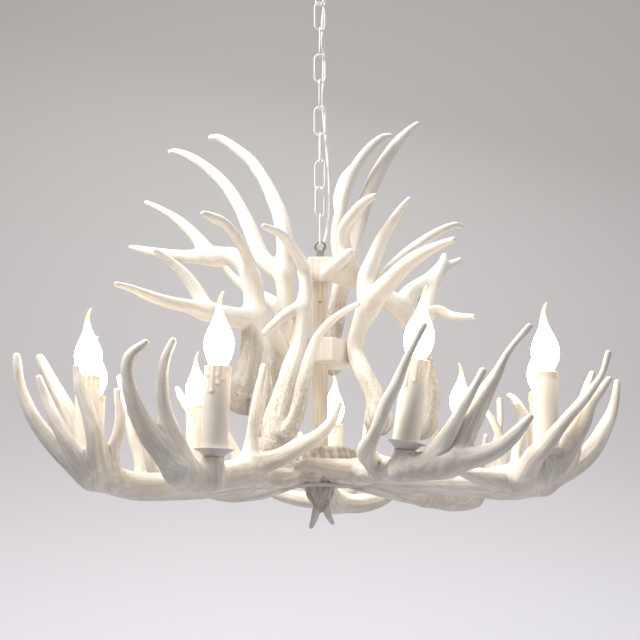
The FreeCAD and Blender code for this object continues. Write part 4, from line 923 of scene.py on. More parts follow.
def bulb_glow(look):
    """Lit frosted glass: bright in the middle, a faint yellow at the tip, dimmer at the foot."""
    finish = Finish("bulb_glow", Roughness=0.25, Emission_Strength=look.glow)
    height = finish.attribute("height")
    clouds = finish.noise(finish.place(), 60, 2)
    tip = finish.between(height, 0.38, 0.86)
    foot = 1 - finish.between(height, 0.0, 0.14)
    colour = finish.mix(tip, look.bulb_middle, look.bulb_tip)
    colour = finish.mix(foot * 0.7, colour, look.bulb_foot)
    colour = finish.mix(clouds * 0.06, colour, look.bulb_tip)
    finish.set(Base_Color=look.bulb_base, Emission_Color=colour)
    return finish.material


def painted_metal(name, colour, shade, roughness=0.38):
    """Painted metal: fine orange peel, a faint change of shade, duller in patches."""
    finish = Finish(name, Roughness=roughness, Coat_Weight=0.15)
    clouds = finish.noise(finish.place(), 30, 3)
    peel = finish.noise(finish.place(), 900, 2)
    mixed = finish.mix(finish.between(clouds, 0.35, 0.7), colour, shade)
    finish.set(Base_Color=mixed, Roughness=roughness - 0.06 + 0.16 * clouds)
    finish.bump(peel, 0.0002, 0.5)
    return finish.material


def zinc_steel(name, colour=(0.62, 0.62, 0.63)):
    """Plated steel with fine brushing and darker patches."""
    finish = Finish(name, Metallic=1.0, Roughness=0.34)
    clouds = finish.noise(finish.place(), 80, 3)
    lines = finish.noise(finish.place((1, 1, 14)), 260, 2)
    darker = tuple(0.7 * share for share in colour)
    finish.set(Base_Color=finish.mix(clouds * 0.5, colour, darker), Roughness=0.26 + 0.2 * lines)
    finish.bump(lines, 0.0001, 0.4)
    return finish.material


def pale_wood(name, light, dark):
    """Pale stained wood with upright grain: long streaks, pores and darker growth lines."""
    finish = Finish(name, Roughness=0.6, Specular_IOR_Level=0.3)
    long_grain = finish.noise(finish.place((1, 1, 0.06)), 240, 4, 0.6)
    pores = finish.noise(finish.place((1, 1, 0.04)), 900, 3, 0.6)
    clouds = finish.noise(finish.place(), 22, 3)
    colour = finish.mix(finish.between(long_grain, 0.35, 0.68), dark, light)
    colour = finish.mix(finish.between(pores, 0.5, 0.72) * 0.35, colour, dark)
    colour = finish.mix(clouds * 0.25, colour, dark)
    finish.set(Base_Color=colour, Roughness=0.52 + 0.2 * long_grain)
    finish.bump(long_grain * 0.7 + pores * 0.5, 0.0006)
    return finish.material


def sheath(name, colour, shade):
    """Satin cord sheath or moulded plastic with a faint change of shade and fine marks."""
    finish = Finish(name, Roughness=0.45)
    clouds = finish.noise(finish.place(), 60, 3)
    marks = finish.noise(finish.place(), 700, 2)
    finish.set(Base_Color=finish.mix(finish.between(clouds, 0.3, 0.7), colour, shade),
               Roughness=0.38 + 0.18 * clouds)
    finish.bump(marks, 0.0001, 0.5)
    return finish.material


# ---------------------------------------------------------------- what a user may change
def tint(label, hint, value):
    """A colour property."""
    return bpy.props.FloatVectorProperty(name=label, description=hint, subtype="COLOR", size=3,
                                         min=0, max=1, default=value)


def amount(label, hint, value, low, high):
    """A number property; lengths are in millimetres, as the sizes above are."""
    return bpy.props.FloatProperty(name=label, description=hint, default=value, min=low, max=high)


class AntlerLook(bpy.types.PropertyGroup):
    """Relief and colours of the antlers; the finial takes its furrows and colours from them too."""
    voxel: amount("Grid", "Grid size of the antlers' surface in millimetres", 1.7, 1.2, 6)
    fork: amount("Fork", "How softly two branches run into each other, in millimetres", 4.5, 1, 12)
    furrow: amount("Furrows", "Depth of the lengthwise furrows at a thick beam, in millimetres", 0.75, 0, 3)
    burr_height: amount("Burr", "Height of the grains at a burr, in millimetres", 1.5, 0, 5)
    burr_reach: amount("Burr reach", "How far the burr's grains run along a beam, in millimetres",
                       150, 10, 300)
    ivory: tint("Ivory", "The resin's main colour", (0.905, 0.872, 0.82))
    streak: tint("Streak", "Colour of the fine streaks", (0.76, 0.71, 0.64))
    warm: tint("Warm patch", "Colour of large, faint patches", (0.90, 0.81, 0.70))
    hollow: tint("Hollow", "Colour in the furrows", (0.56, 0.49, 0.41))
    burr: tint("Burr", "Colour between the burr's grains", (0.56, 0.46, 0.36))


class CandleLook(bpy.types.PropertyGroup):
    """The candle tubes and their pans."""
    drip_height: amount("Drips", "How far the wax stands out, in millimetres", 1.3, 0, 2.4)
    drip_width: amount("Drip width", "Width of a run of wax, in millimetres", 3.0, 1, 8)
    cream: tint("Cream", "The tube's colour", (0.87, 0.82, 0.74))
    cream_dark: tint("Cream shade", "The tube's second colour", (0.82, 0.76, 0.67))
    drip_edge: tint("Drip edge", "Colour where a drip meets the tube", (0.60, 0.50, 0.38))
    pan: tint("Pan", "Colour of the drip pans", (0.72, 0.70, 0.67))
    pan_shade: tint("Pan shade", "Second colour of the drip pans", (0.62, 0.60, 0.57))
    lit: amount("Lit", "Strength of the light that comes through the tube's upper part", 0.28, 0, 5)
    lit_colour: tint("Lit colour", "Colour of that light", (1.0, 0.80, 0.56))


class BulbLook(bpy.types.PropertyGroup):
    """The lit bulbs."""
    glow: amount("Glow", "Strength of the bulbs' light", 24.0, 0, 60)
    bulb_base: tint("Glass", "The glass under its own light", (0.06, 0.06, 0.055))
    bulb_middle: tint("Middle", "Light from the middle of the bulb", (1.0, 0.84, 0.62))
    bulb_tip: tint("Tip", "Light from the bulb's tip", (0.040, 0.039, 0.0275))
    bulb_foot: tint("Foot", "Light from the bulb's foot", (0.20, 0.17, 0.12))


class BodyLook(bpy.types.PropertyGroup):
    """The column, the hub, the chain and the ceiling pieces."""
    wood: tint("Wood", "Lighter colour of the column's grain", (0.91, 0.85, 0.77))
    wood_dark: tint("Wood grain", "Darker colour of the column's grain", (0.72, 0.63, 0.53))
    block: tint("Block", "Lighter colour of the cap's and the block's grain", (0.88, 0.85, 0.80))
    block_dark: tint("Block grain", "Darker colour of their grain", (0.80, 0.74, 0.66))
    hub: tint("Hub", "The hub's main colour", (0.80, 0.74, 0.66))
    hub_hollow: tint("Hub hollow", "Colour in the hub's furrows", (0.48, 0.42, 0.34))
    chain: tint("Chain", "Paint of the chain, loop and canopy", (0.86, 0.85, 0.83))
    chain_shade: tint("Chain shade", "Second colour of that paint", (0.78, 0.77, 0.75))
    loop: tint("Loop", "The hanging loop's dull metal", (0.36, 0.34, 0.32))
    loop_shade: tint("Loop shade", "Second colour of the loop", (0.24, 0.225, 0.21))
    cord: tint("Cord", "Sheath of the cord", (0.88, 0.87, 0.84))
    cord_shade: tint("Cord shade", "Second colour of the sheath", (0.82, 0.81, 0.78))


class StageLook(bpy.types.PropertyGroup):
    """Backdrop, lights and camera."""
    backdrop_top: tint("Backdrop top", "Backdrop colour high up", (0.50, 0.485, 0.475))
    backdrop_middle: tint("Backdrop middle", "Backdrop colour behind the lamp", (0.50, 0.483, 0.488))
    backdrop_low: tint("Backdrop low", "Backdrop colour low down", (0.76, 0.745, 0.785))
    backdrop_lift: amount("Backdrop lift", "Share of its colour that the backdrop shows unlit", 0.32, 0, 2)
    key: amount("Key light", "Power of the large light at the front left, in watts", 82, 0, 500)
    fill: amount("Fill light", "Power of the soft light at the right, in watts", 9.0, 0, 500)
    above: amount("Top light", "Power of the light behind and above, in watts", 42, 0, 500)
    sky: amount("Sky", "Strength of the even light from all round", 0.2, 0, 3)
    sky_lift: amount("Sky lift", "How much paler the open sky looks than it shines", 0.35, 0, 3)
    lens: amount("Lens", "Focal length in millimetres on a 36 mm sensor", 65.475, 10, 300)


LOOKS = {"antler_look": AntlerLook, "candle_look": CandleLook, "bulb_look": BulbLook,
         "body_look": BodyLook, "stage_look": StageLook}


# ---------------------------------------------------------------- pieces
def antler_piece(name, branches, seed, burr, material, look, room=None):
    """One antler: the surface of its branches, less the room for its light, standing for the node of
    that name. The burr is one of those that are named above."""
    reach, height, level = burr
    antler = Antler(branches, seed, look.fork, look.furrow, look.burr_reach * reach,
                    look.burr_height * height, level)
    made = antler.piece(name + "_look", look.voxel)
    if room is not None:
        cut_out(made, room)
    to_metres(made)
    place_piece(made, "lamp", material, name)


def seat_boss(light, number):
    """A branch that stands for the raised boss under a pan, from the beam into the pan's underside."""
    foot, head = -PAN_DROP - SEAT_BOSS_HEIGHTS[number], -PAN_DROP + 3
    ends = at_light(np.array([[0, 0, foot], [0, 0, head]]), light) - (0, 0, LEVEL)
    return [(*ends[0], 13.5), (*ends.mean(0), 12.5), (*ends[1], 11.5)]


def seat_room(light):
    """The closed space that the pan, the candle and the bulb take out of the antler."""
    round_pan, round_candle, pan_top = PAN_RADIUS + 1.5, SLEEVE_RADIUS + 2.5, 5
    profile = [(round_pan, -PAN_DROP), (round_pan, pan_top), (round_candle, pan_top),
               (round_candle, SLEEVE_HEIGHT + BULB_LENGTH)]
    return at_light(lathe(profile, 64), light) - (0, 0, LEVEL)


def link_surface(index):
    """One chain link: a racetrack line of two straights and two half circles with a round wire, a
    little thicker at the weld in the middle of one straight."""
    bend = (LINK_WIDTH - LINK_WIRE) / 2
    straight = LINK_LENGTH - LINK_WIRE - 2 * bend
    half_round = math.pi * bend
    run = np.linspace(0, 2 * straight + 2 * half_round, 64, endpoint=False)
    turn = (np.clip((run - straight) / bend, 0, math.pi)
            + np.clip((run - 2 * straight - half_round) / bend, 0, math.pi))
    rise = np.clip(run, 0, straight) - np.clip(run - straight - half_round, 0, straight)
    flat = np.zeros_like(run)
    out = np.stack([np.cos(turn), flat, np.sin(turn)], 1)
    line = np.stack([bend * np.cos(turn), flat, bend + rise + bend * np.sin(turn)], 1)
    angle = circle(14)[None, :, None]
    weld = 0.28 * np.exp(-((run - straight / 2) / 1.6) ** 2)
    wire = (LINK_WIRE / 2 + weld)[:, None, None]
    grid = line[:, None] + wire * (np.cos(angle) * out[:, None] + np.sin(angle) * np.array([0.0, 1.0, 0.0]))
    cosine, sine = math.cos(math.radians(LINK_TURNS[index])), math.sin(math.radians(LINK_TURNS[index]))
    spin = np.array([[cosine, sine, 0], [-sine, cosine, 0], [0, 0, 1]])
    return ringed(grid @ spin + (0, 0, CHAIN_FOOT + index * LINK_PITCH + LEVEL))


def upright_ring(radius, wire, height):
    """A round-wire ring in the XZ plane round a centre on the axis."""
    around, across = np.meshgrid(circle(64), circle(18), indexing="ij")
    reach = radius + wire * np.cos(across)
    grid = np.stack([reach * np.cos(around), wire * np.sin(across), height + reach * np.sin(around)], -1)
    return ringed(grid[:, ::-1])


def sleeve_surface(light, number, look):
    """A candle tube. The radius is the tube's plus runs of wax: a bell across each run, full from its
    foot to the rim, with a rounder drop at the foot. Returns the surface, and for each point the wax's
    thickness and how far up the tube it is."""
    rng = np.random.default_rng(40 + number)
    outer = np.concatenate([np.linspace(0.4, 60, 14), np.linspace(62, 96.2, 44)])
    inside = SLEEVE_RADIUS - SLEEVE_WALL
    rim = [(SLEEVE_RADIUS - 0.5, SLEEVE_HEIGHT - 0.2), (SLEEVE_RADIUS - 1.5, SLEEVE_HEIGHT),
           (SLEEVE_MOUTH + 0.6, SLEEVE_HEIGHT), (SLEEVE_MOUTH, SLEEVE_HEIGHT - 0.6),
           (SLEEVE_MOUTH, SLEEVE_HEIGHT - 3), (inside, SLEEVE_HEIGHT - 3), (inside, 0)]
    profile = [(SLEEVE_RADIUS - 0.3, 0)] + [(SLEEVE_RADIUS, z) for z in outer] + rim
    grid = lathe(profile, 96)
    angle = np.broadcast_to(circle(96)[None, :], grid.shape[:2])
    height = grid[:, :, 2]
    wax = 0.35 * ramp(84, 93, height + 2.5 * np.sin(3 * angle + number))
    for _ in range(WAX_RUNS):
        centre, foot = rng.uniform(0, 2 * math.pi), rng.uniform(62, 88)
        width = look.drip_width * rng.uniform(0.7, 1.4)
        off = (np.mod(angle - centre + math.pi, 2 * math.pi) - math.pi) * SLEEVE_RADIUS
        across = np.exp(-(off / width) ** 2 * 1.6)
        down = ramp(foot - 1.0, foot + 2.0, height)
        drop = 0.6 * np.exp(-((height - foot - 2.2) / 2.6) ** 2)
        wax = np.maximum(wax, across * (down * 0.75 + drop))
    wax = wax * (np.hypot(grid[:, :, 0], grid[:, :, 1]) > SLEEVE_RADIUS - 1.6) * (height > 1)
    push = look.drip_height * wax * (1 - 0.8 * ramp(95.5, 97, height))
    grid[:, :, 0] += push * np.cos(angle)
    grid[:, :, 1] += push * np.sin(angle)
    return ringed(at_light(grid, light)), wax.ravel(), height.ravel() / SLEEVE_HEIGHT


def pan_surface(light):
    """A drip pan: a turned dish with a rolled rim on a flared boss."""
    profile = [(PAN_BORE_RADIUS, -PAN_DROP), (11, -PAN_DROP), (12.5, -5.4), (SLEEVE_RADIUS + 1, -1.5),
               (20.5, 0.3), (PAN_RADIUS - 0.3, 1.1), (PAN_RADIUS, 1.7), (PAN_RADIUS - 0.5, 2.25),
               (PAN_RADIUS - 1.3, 2.1), (20, 1.0), (SLEEVE_RADIUS + 1, 0.05), (PAN_BORE_RADIUS, 0)]
    return ringed(at_light(lathe(rounded(profile, 0.6, 2), 72), light))


def bulb_surface(light, turn):
    """The flame-shaped bulb: a turned outline whose middle line bends to one side at the tip. Returns
    the surface and how far up the bulb each point is."""
    # share of the length, share of the radius, and mm to the side
    stations = ((0.0, 0.54, 0), (0.06, 0.66, 0), (0.16, 0.88, 0), (0.27, 0.99, 0), (0.36, 0.97, 0),
                (0.47, 0.80, -0.3), (0.58, 0.53, -0.8), (0.69, 0.31, -1.6), (0.79, 0.20, -2.2),
                (0.88, 0.15, -1.8), (0.95, 0.115, 0), (1.0, 0.08, 2.2))
    sides = 48
    line = smooth_curve(stations, 6)
    angle = circle(sides)[None, :]
    reach = BULB_RADIUS * line[:, 1:2]
    aside = line[:, 2:3] * (math.cos(math.radians(turn)), math.sin(math.radians(turn)))
    height = np.broadcast_to(SLEEVE_HEIGHT - BULB_SEAT + BULB_LENGTH * line[:, :1], (len(line), sides))
    grid = np.stack([reach * np.cos(angle) + aside[:, :1], reach * np.sin(angle) + aside[:, 1:], height], -1)
    share = np.concatenate([np.repeat(line[:, 0], sides), [0.0, 1.0]])
    points, faces = capped(grid)
    return (at_light(points, light), faces), share


class PieceOperator(bpy.types.Operator):
    """Builds one group of pieces of the chandelier."""
    bl_options = {"REGISTER", "UNDO"}


class CHANDELIER_OT_stage(PieceOperator):
    """The camera, the lights, the floor and the backdrop."""
    bl_idname = "chandelier.stage"
    bl_label = "Stage"

    def execute(self, context):
        look = context.scene.stage_look
        camera = bpy.data.objects.new("camera", bpy.data.cameras.new("camera"))
        context.scene.collection.objects.link(camera)
        camera.location = (0, -CAMERA_DISTANCE, (LEVEL - CAMERA_UNDER_LEVEL) * MM)
        camera.rotation_euler = (math.radians(90 + CAMERA_TILT), 0, 0)
        camera.data.lens = look.lens
        camera.data.sensor_width = SENSOR_WIDTH
        context.scene.camera = camera
        for name, (spot, size, colour) in LAMPS.items():
            self.light(name, spot, size, getattr(look, name), colour)
        self.sky(context, look)
        self.backdrop(look)
        context.scene.view_settings.view_transform = "Standard"
        return {"FINISHED"}

    def light(self, name, spot, size, power, colour):
        """A square light that faces the lamp's middle."""
        data = bpy.data.lights.new(name, "AREA")
        data.size = size
        data.energy = power
        data.color = colour
        made = bpy.data.objects.new(name, data)
        bpy.context.scene.collection.objects.link(made)
        made.location = spot
        aim = Vector((0, 0, (LEVEL + LAMP_MIDDLE) * MM)) - made.location
        made.rotation_euler = aim.to_track_quat("-Z", "Y").to_euler()

    def sky(self, context, look):
        """Even pale light from all round, seen a little paler than it shines."""
        world = bpy.data.worlds.new("sky")
        context.scene.world = world
        world.use_nodes = True
        tree = world.node_tree
        light = tree.nodes["Background"]
        light.inputs["Color"].default_value = (0.98, 0.98, 1.0, 1)
        rays = tree.nodes.new("ShaderNodeLightPath")
        strength = tree.nodes.new("ShaderNodeMath")
        strength.operation = "MULTIPLY_ADD"
        tree.links.new(rays.outputs["Is Camera Ray"], strength.inputs[0])
        strength.inputs[1].default_value = look.sky_lift
        strength.inputs[2].default_value = look.sky
        tree.links.new(strength.outputs[0], light.inputs["Strength"])

    def backdrop(self, look):
        """A floor that curves up into a wall: a straight, a quarter circle and a straight, drawn out
        sideways; the wall's colour follows its height, and it is lifted a little where it is seen."""
        floor, front, wall, top, bend, reach, columns = -2.4, -12.0, 2.6, 4.5, 0.8, 12.0, 9
        turn = np.linspace(0, math.pi / 2, 16)
        run = np.concatenate([[front], wall - bend + bend * np.sin(turn), [wall]])
        height = np.concatenate([[floor], floor + bend - bend * np.cos(turn), [top]])
        side = np.linspace(-reach, reach, columns)
        grid = np.stack(np.broadcast_arrays(side[None], run[:, None], height[:, None]), -1)
        faces = grid_faces(len(run), columns, wrap_columns=False)[:, ::-1].tolist()
        made = mesh_object("backdrop", (grid.reshape(-1, 3), faces), scale=1.0)
        made.data.materials.append(self.backdrop_paint(look))

    def backdrop_paint(self, look):
        """Flat paint in three colours, one above the other, that shows a share of itself unlit."""
        finish = Finish("backdrop", Roughness=0.9, Specular_IOR_Level=0.0)
        place = finish.node("ShaderNodeTexCoord").outputs["Object"]
        level = finish.out("ShaderNodeSeparateXYZ", None, {0: place}, 2)
        watched = finish.out("ShaderNodeLightPath", output="Is Camera Ray")
        lower = finish.mix(finish.between(level, -1.45, -0.35), look.backdrop_low, look.backdrop_middle)
        shown = finish.mix(finish.between(level, -0.6, 0.75), lower, look.backdrop_top)
        finish.set(Base_Color=shown, Emission_Color=shown, Emission_Strength=watched * look.backdrop_lift)
        finish.leave_unsampled()
        return finish.material


class CHANDELIER_OT_cords(PieceOperator):
    """The cord beside the chain, in its two lengths."""
    bl_idname = "chandelier.cords"
    bl_label = "Cords"

    def execute(self, context):
        look = context.scene.body_look
        material = sheath("cord_sheath", look.cord, look.cord_shade)
        for node, route, length, body, next_body, bend_start, bend_end in CORDS:
            mesh, path = self.sheathed_line(route)
            cord = bpy.data.objects.new(node + "_look", mesh)
            context.scene.collection.objects.link(cord)
            dress(cord, material, node)
            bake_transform(cord)
        return {"FINISHED"}

    def sheathed_line(self, route):
        """A cord's mesh, and the points of the smooth line that it follows. The line is a spline with
        the route's points as its control points."""
        curve = bpy.data.curves.new("cord_line", "CURVE")
        curve.dimensions = "3D"
        curve.resolution_u = 12
        line = curve.splines.new("NURBS")
        line.points.add(len(route) - 1)
        line.points.foreach_set("co", np.column_stack([route, np.ones(len(route))]).ravel())
        line.order_u = 3
        line.use_endpoint_u = True
        thread = bpy.data.objects.new("cord_line", curve)
        path = [tuple(point.co) for point in bpy.data.meshes.new_from_object(thread).vertices]
        curve.bevel_depth = CORD_DIAMETER / 2
        curve.bevel_resolution = 6
        curve.use_fill_caps = True
        mesh = bpy.data.meshes.new_from_object(thread)
        bpy.data.objects.remove(thread)
        return mesh, path


class CHANDELIER_OT_antlers(PieceOperator):
    """The lower antlers with their seats and the upper antlers."""
    bl_idname = "chandelier.antlers"
    bl_label = "Antlers"

    def execute(self, context):
        look = context.scene.antler_look
        aged = antler_resin(look, "antler_resin")
        for number, light in lights().items():
            branches = LOWER_ANTLERS[number] + [seat_boss(light, number)]
            antler_piece("lower_antler_%d" % number, branches, 10 * number, LOWER_BURR, aged, look,
                         seat_room(light))
        cleaner = antler_resin(look, "upper_resin", burr_share=0.65, age=0.45)
        for number, branches in UPPER_ANTLERS.items():
            burr = SLIGHT_UPPER_BURR if number in SLIGHT_BURR_ANTLERS else UPPER_BURR
            antler_piece("upper_antler_%d" % number, branches, 200 + 10 * number, burr, cleaner, look)
        return {"FINISHED"}


class CHANDELIER_OT_finial(PieceOperator):
    """The gnarled burr with two prongs under the hub."""
    bl_idname = "chandelier.finial"
    bl_label = "Finial"

    def execute(self, context):
        look = context.scene.antler_look
        top, r, tall = FINIAL_TOP, FINIAL_RADIUS, FINIAL_LENGTH
        bowl = [(0, 0, top, r), (0, 0, top - 0.12 * tall, r * 0.93), (1, 0, top - 0.28 * tall, r * 0.62),
                (1, 0, top - 0.42 * tall, r * 0.48), (1, 0, top - 0.5 * tall, r * 0.36)]
        left = [(-1, 0, top - 0.36 * tall, r * 0.34), (-5, 0, top - 0.58 * tall, r * 0.25),
                (-8, 0, top - 0.8 * tall, r * 0.2), (-12, 0, top - 0.98 * tall, r * 0.12)]
        right = [(4, 0, top - 0.36 * tall, r * 0.32), (9, 1, top - 0.56 * tall, r * 0.24),
                 (12, 1, top - 0.73 * tall, r * 0.18), (17, 2, top - 0.89 * tall, r * 0.1)]
        gnarled = Antler([bowl, left, right], seed=77, fork=1.3, furrow=look.furrow * 1.6, burr_reach=60,
                         burr_height=1.2)
        made = gnarled.piece("finial_look", 0.9)
        to_metres(made)
        resin = antler_resin(look, "finial_resin", burr_share=0.6)
        place_piece(made, "lamp", resin, "finial")
        return {"FINISHED"}


class CHANDELIER_OT_hub(PieceOperator):
    """The burr-like drum that carries the lower antlers, and its cover."""
    bl_idname = "chandelier.hub"
    bl_label = "Hub"

    def execute(self, context):
        material = self.burr_resin(context.scene.body_look)
        low, high = HUB_TOP - HUB_HEIGHT + LEVEL, HUB_TOP + LEVEL
        self.drum(low, high, material)
        self.cover(low, material)
        return {"FINISHED"}

    def drum(self, low, high, material):
        """The drum: a turned outline whose side is pushed in and out by flutes that run up it, grains
        and lumps."""
        r = HUB_RADIUS
        inside = r - HUB_WALL
        outline = smooth_curve([(r - 5, low), (r - 1, low + 7), (r - 0.5, low + 22), (r - 1, high - 12),
                                (r - 2, high - 4), (r - 5, high)], 8)
        roof = [(r - 9, high + 0.2), (r - 24, high), (16, high), (ROD_BORE_RADIUS, high),
                (ROD_BORE_RADIUS, high - HUB_ROOF), (inside, high - HUB_ROOF), (inside, low)]
        grid = lathe(np.vstack([outline, roof]), 240)
        points = grid.reshape(-1, 3)
        angle = np.arctan2(points[:, 1], points[:, 0])
        reach = np.hypot(points[:, 0], points[:, 1])
        skin = ramp(r - 14, r - 6, reach) * (1 - 0.7 * ramp(high - 3, high, points[:, 2]))
        flutes = np.sin(26 * angle + 1.5 * noise(points, 18, 3)) * 0.8 + np.sin(57 * angle) * 0.25
        lumps = 1.5 * (pearls(points, 8, 4) - 0.4) + 0.9 * noise(points, 12, 8)
        height = skin * (0.9 * flutes + lumps - 1)
        points = points + height[:, None] * np.stack([np.cos(angle), np.sin(angle), 0 * angle], 1)
        made = mesh_object("hub_drum_look", ringed(points.reshape(grid.shape)), sharp=40)
        write_attribute(made.data, "relief", height)
        place_piece(made, "lamp", material, "hub_drum")

    def cover(self, low, material):
        """The cover under the drum: a turned plate whose underside is lowered by lumps and grains."""
        foot, rim = low - COVER_THICKNESS, HUB_RADIUS - 4
        plate = [(ROD_BORE_RADIUS, foot), (rim - 2, foot), (rim, foot + 1.5), (rim, low),
                 (ROD_BORE_RADIUS, low)]
        grid = lathe(rounded(plate, 1.2), 160)
        points = grid.reshape(-1, 3)
        lift = (0.9 * noise(points, 9, 2) + 0.8 * pearls(points, 7, 5)) * (points[:, 2] < foot + 1)
        points = points - np.stack([0 * lift, 0 * lift, lift], 1)
        made = mesh_object("hub_cover_look", ringed(points.reshape(grid.shape)), sharp=50)
        write_attribute(made.data, "relief", lift - 1)
        place_piece(made, "lamp", material, "hub_cover")

    def burr_resin(self, look):
        """Rough grey-brown resin, dark in the hollows."""
        finish = Finish("burr_resin", Roughness=0.7, Specular_IOR_Level=0.3)
        relief = finish.attribute("relief")
        clouds = finish.noise(finish.place(), 60, 4)
        pits = finish.noise(finish.place(), 300, 4, 0.65)
        hollow = 1 - finish.between(relief, -2.2, 0.4)
        mixed = finish.mix(hollow * 0.9, look.hub, look.hub_hollow)
        mixed = finish.mix(finish.between(clouds, 0.4, 0.7) * 0.4, mixed, look.hub_hollow)
        finish.set(Base_Color=mixed, Roughness=0.6 + 0.25 * clouds)
        finish.bump(pits, 0.0012)
        return finish.material


class CHANDELIER_OT_column(PieceOperator):
    """The square column, the hexagonal block and the square cap."""
    bl_idname = "chandelier.column"
    bl_label = "Column"

    def execute(self, context):
        look = context.scene.body_look
        wood = pale_wood("column_wood", look.wood, look.wood_dark)
        pale = pale_wood("block_wood", look.block, look.block_dark)
        cap_foot = CAP_TOP - CAP_HEIGHT
        self.prism("column", rectangle(COLUMN_SIZE, COLUMN_SIZE), HUB_TOP, cap_foot, 1.0, wood)
        self.prism("top_cap", rectangle(CAP_SIZE, CAP_SIZE), cap_foot, CAP_TOP, 1.6, pale)
        corner_reach = BLOCK_APOTHEM / math.cos(math.radians(30))
        corners = np.array([at_azimuth(BLOCK_TURN + 30 - 60 * k, corner_reach) for k in range(6)])
        self.prism("middle_block", corners, BLOCK_TOP - BLOCK_HEIGHT, BLOCK_TOP, 1.8, pale)
        self.screw()
        return {"FINISHED"}

    def prism(self, name, corners, low, high, edge, material):
        """One wooden piece: an upright prism between two heights over the lamp level."""
        grid = soft_prism(corners, low + LEVEL, high + LEVEL, edge)
        made = mesh_object(name + "_look", capped(grid), sharp=35)
        place_piece(made, "lamp", material, name)

    def screw(self):
        """The small domed screw in the column's front face, with a dimple for its slot."""
        spot = np.array([0.0, -COLUMN_SIZE / 2, SCREW_HEIGHT + LEVEL])
        dome = [(0.05, 0.35), (0.5, 0.45), (0.7, 0.95), (1.4, 0.8), (2.1, 0.35), (2.3, -0.4)]
        grid = lathe(dome, 24)
        turned = np.stack([grid[:, :, 0], -grid[:, :, 2], grid[:, :, 1]], -1) + spot
        made = mesh_object("column_screw", capped(turned[::-1]))
        place_piece(made, "lamp", zinc_steel("screw_steel", (0.45, 0.44, 0.43)))


class CHANDELIER_OT_candles(PieceOperator):
    """The candle tubes with their wax, and the drip pans."""
    bl_idname = "chandelier.candles"
    bl_label = "Candles"

    def execute(self, context):
        look = context.scene.candle_look
        found = [sleeve_surface(light, number, look) for number, light in lights().items()]
        surfaces, waxes, shares = zip(*found)
        sleeves = mesh_object("candle_sleeves_look", joined(surfaces), sharp=60)
        write_attribute(sleeves.data, "drip", np.concatenate(waxes))
        write_attribute(sleeves.data, "height", np.concatenate(shares))
        place_piece(sleeves, "lamp", candle_cream(look), "candle_sleeves")
        dishes = joined([pan_surface(light) for light in lights().values()])
        pans = mesh_object("drip_pans_look", dishes, sharp=50)
        satin = painted_metal("pan_paint", look.pan, look.pan_shade, 0.45)
        place_piece(pans, "lamp", satin, "drip_pans")
        return {"FINISHED"}


class CHANDELIER_OT_bulbs(PieceOperator):
    """The lit bulbs, each on its own body."""
    bl_idname = "chandelier.bulbs"
    bl_label = "Bulbs"

    def execute(self, context):
        material = bulb_glow(context.scene.bulb_look)
        for number, light in lights().items():
            node = "bulb_glass_%d" % number
            surface, share = bulb_surface(light, BULB_TURNS[number])
            made = mesh_object(node + "_look", surface)
            write_attribute(made.data, "height", share)
            place_piece(made, "bulb_%d" % number, material, node)
        return {"FINISHED"}


class CHANDELIER_OT_chain(PieceOperator):
    """The chain, the lamp's ring and the ceiling eye."""
    bl_idname = "chandelier.chain"
    bl_label = "Chain"

    def execute(self, context):
        look = context.scene.body_look
        material = painted_metal("chain_paint", look.chain, look.chain_shade)
        links = mesh_object("chain_links_look", joined([link_surface(k) for k in range(LINK_COUNT)]))
        place_piece(links, "chain", material, "chain_links")
        self.loop(painted_metal("loop_metal", look.loop, look.loop_shade, 0.45))
        self.eye(material)
        return {"FINISHED"}

    def loop(self, material):
        """The loop on the cap: a small block that carries a ring."""
        foot = CAP_TOP + LEVEL
        outline = rectangle(LOOP_BLOCK_WIDTH, LOOP_BLOCK_DEPTH)
        block = capped(soft_prism(outline, foot, foot + LOOP_BLOCK_HEIGHT, 1.0))
        ring = upright_ring(LOOP_RADIUS, LOOP_WIRE_RADIUS, foot + LOOP_RING_HEIGHT)
        made = mesh_object("hanging_loop_look", joined([block, ring]), sharp=50)
        place_piece(made, "lamp", material, "hanging_loop")

    def eye(self, material):
        """The eye bolt: a ring under a threaded shank."""
        rows = 140
        profile = np.column_stack([np.full(rows, SHANK_RADIUS), np.linspace(SHANK_FOOT, 0, rows)])
        shank = lathe(profile, 32, self.thread)
        ring = upright_ring(EYE_RADIUS, EYE_WIRE_RADIUS, EYE_CENTRE)
        made = mesh_object("eye_bolt_look", joined([capped(shank), ring]), sharp=50)
        place_piece(made, "ceiling", material, "eye_bolt")

    def thread(self, angle, height):
        """How far the thread cuts in: a triangle wave, 0.3 mm deep and 1 mm long, of the height plus
        the share of a turn."""
        return -0.3 * np.abs(2 * np.mod(height + angle / (2 * math.pi), 1) - 1)


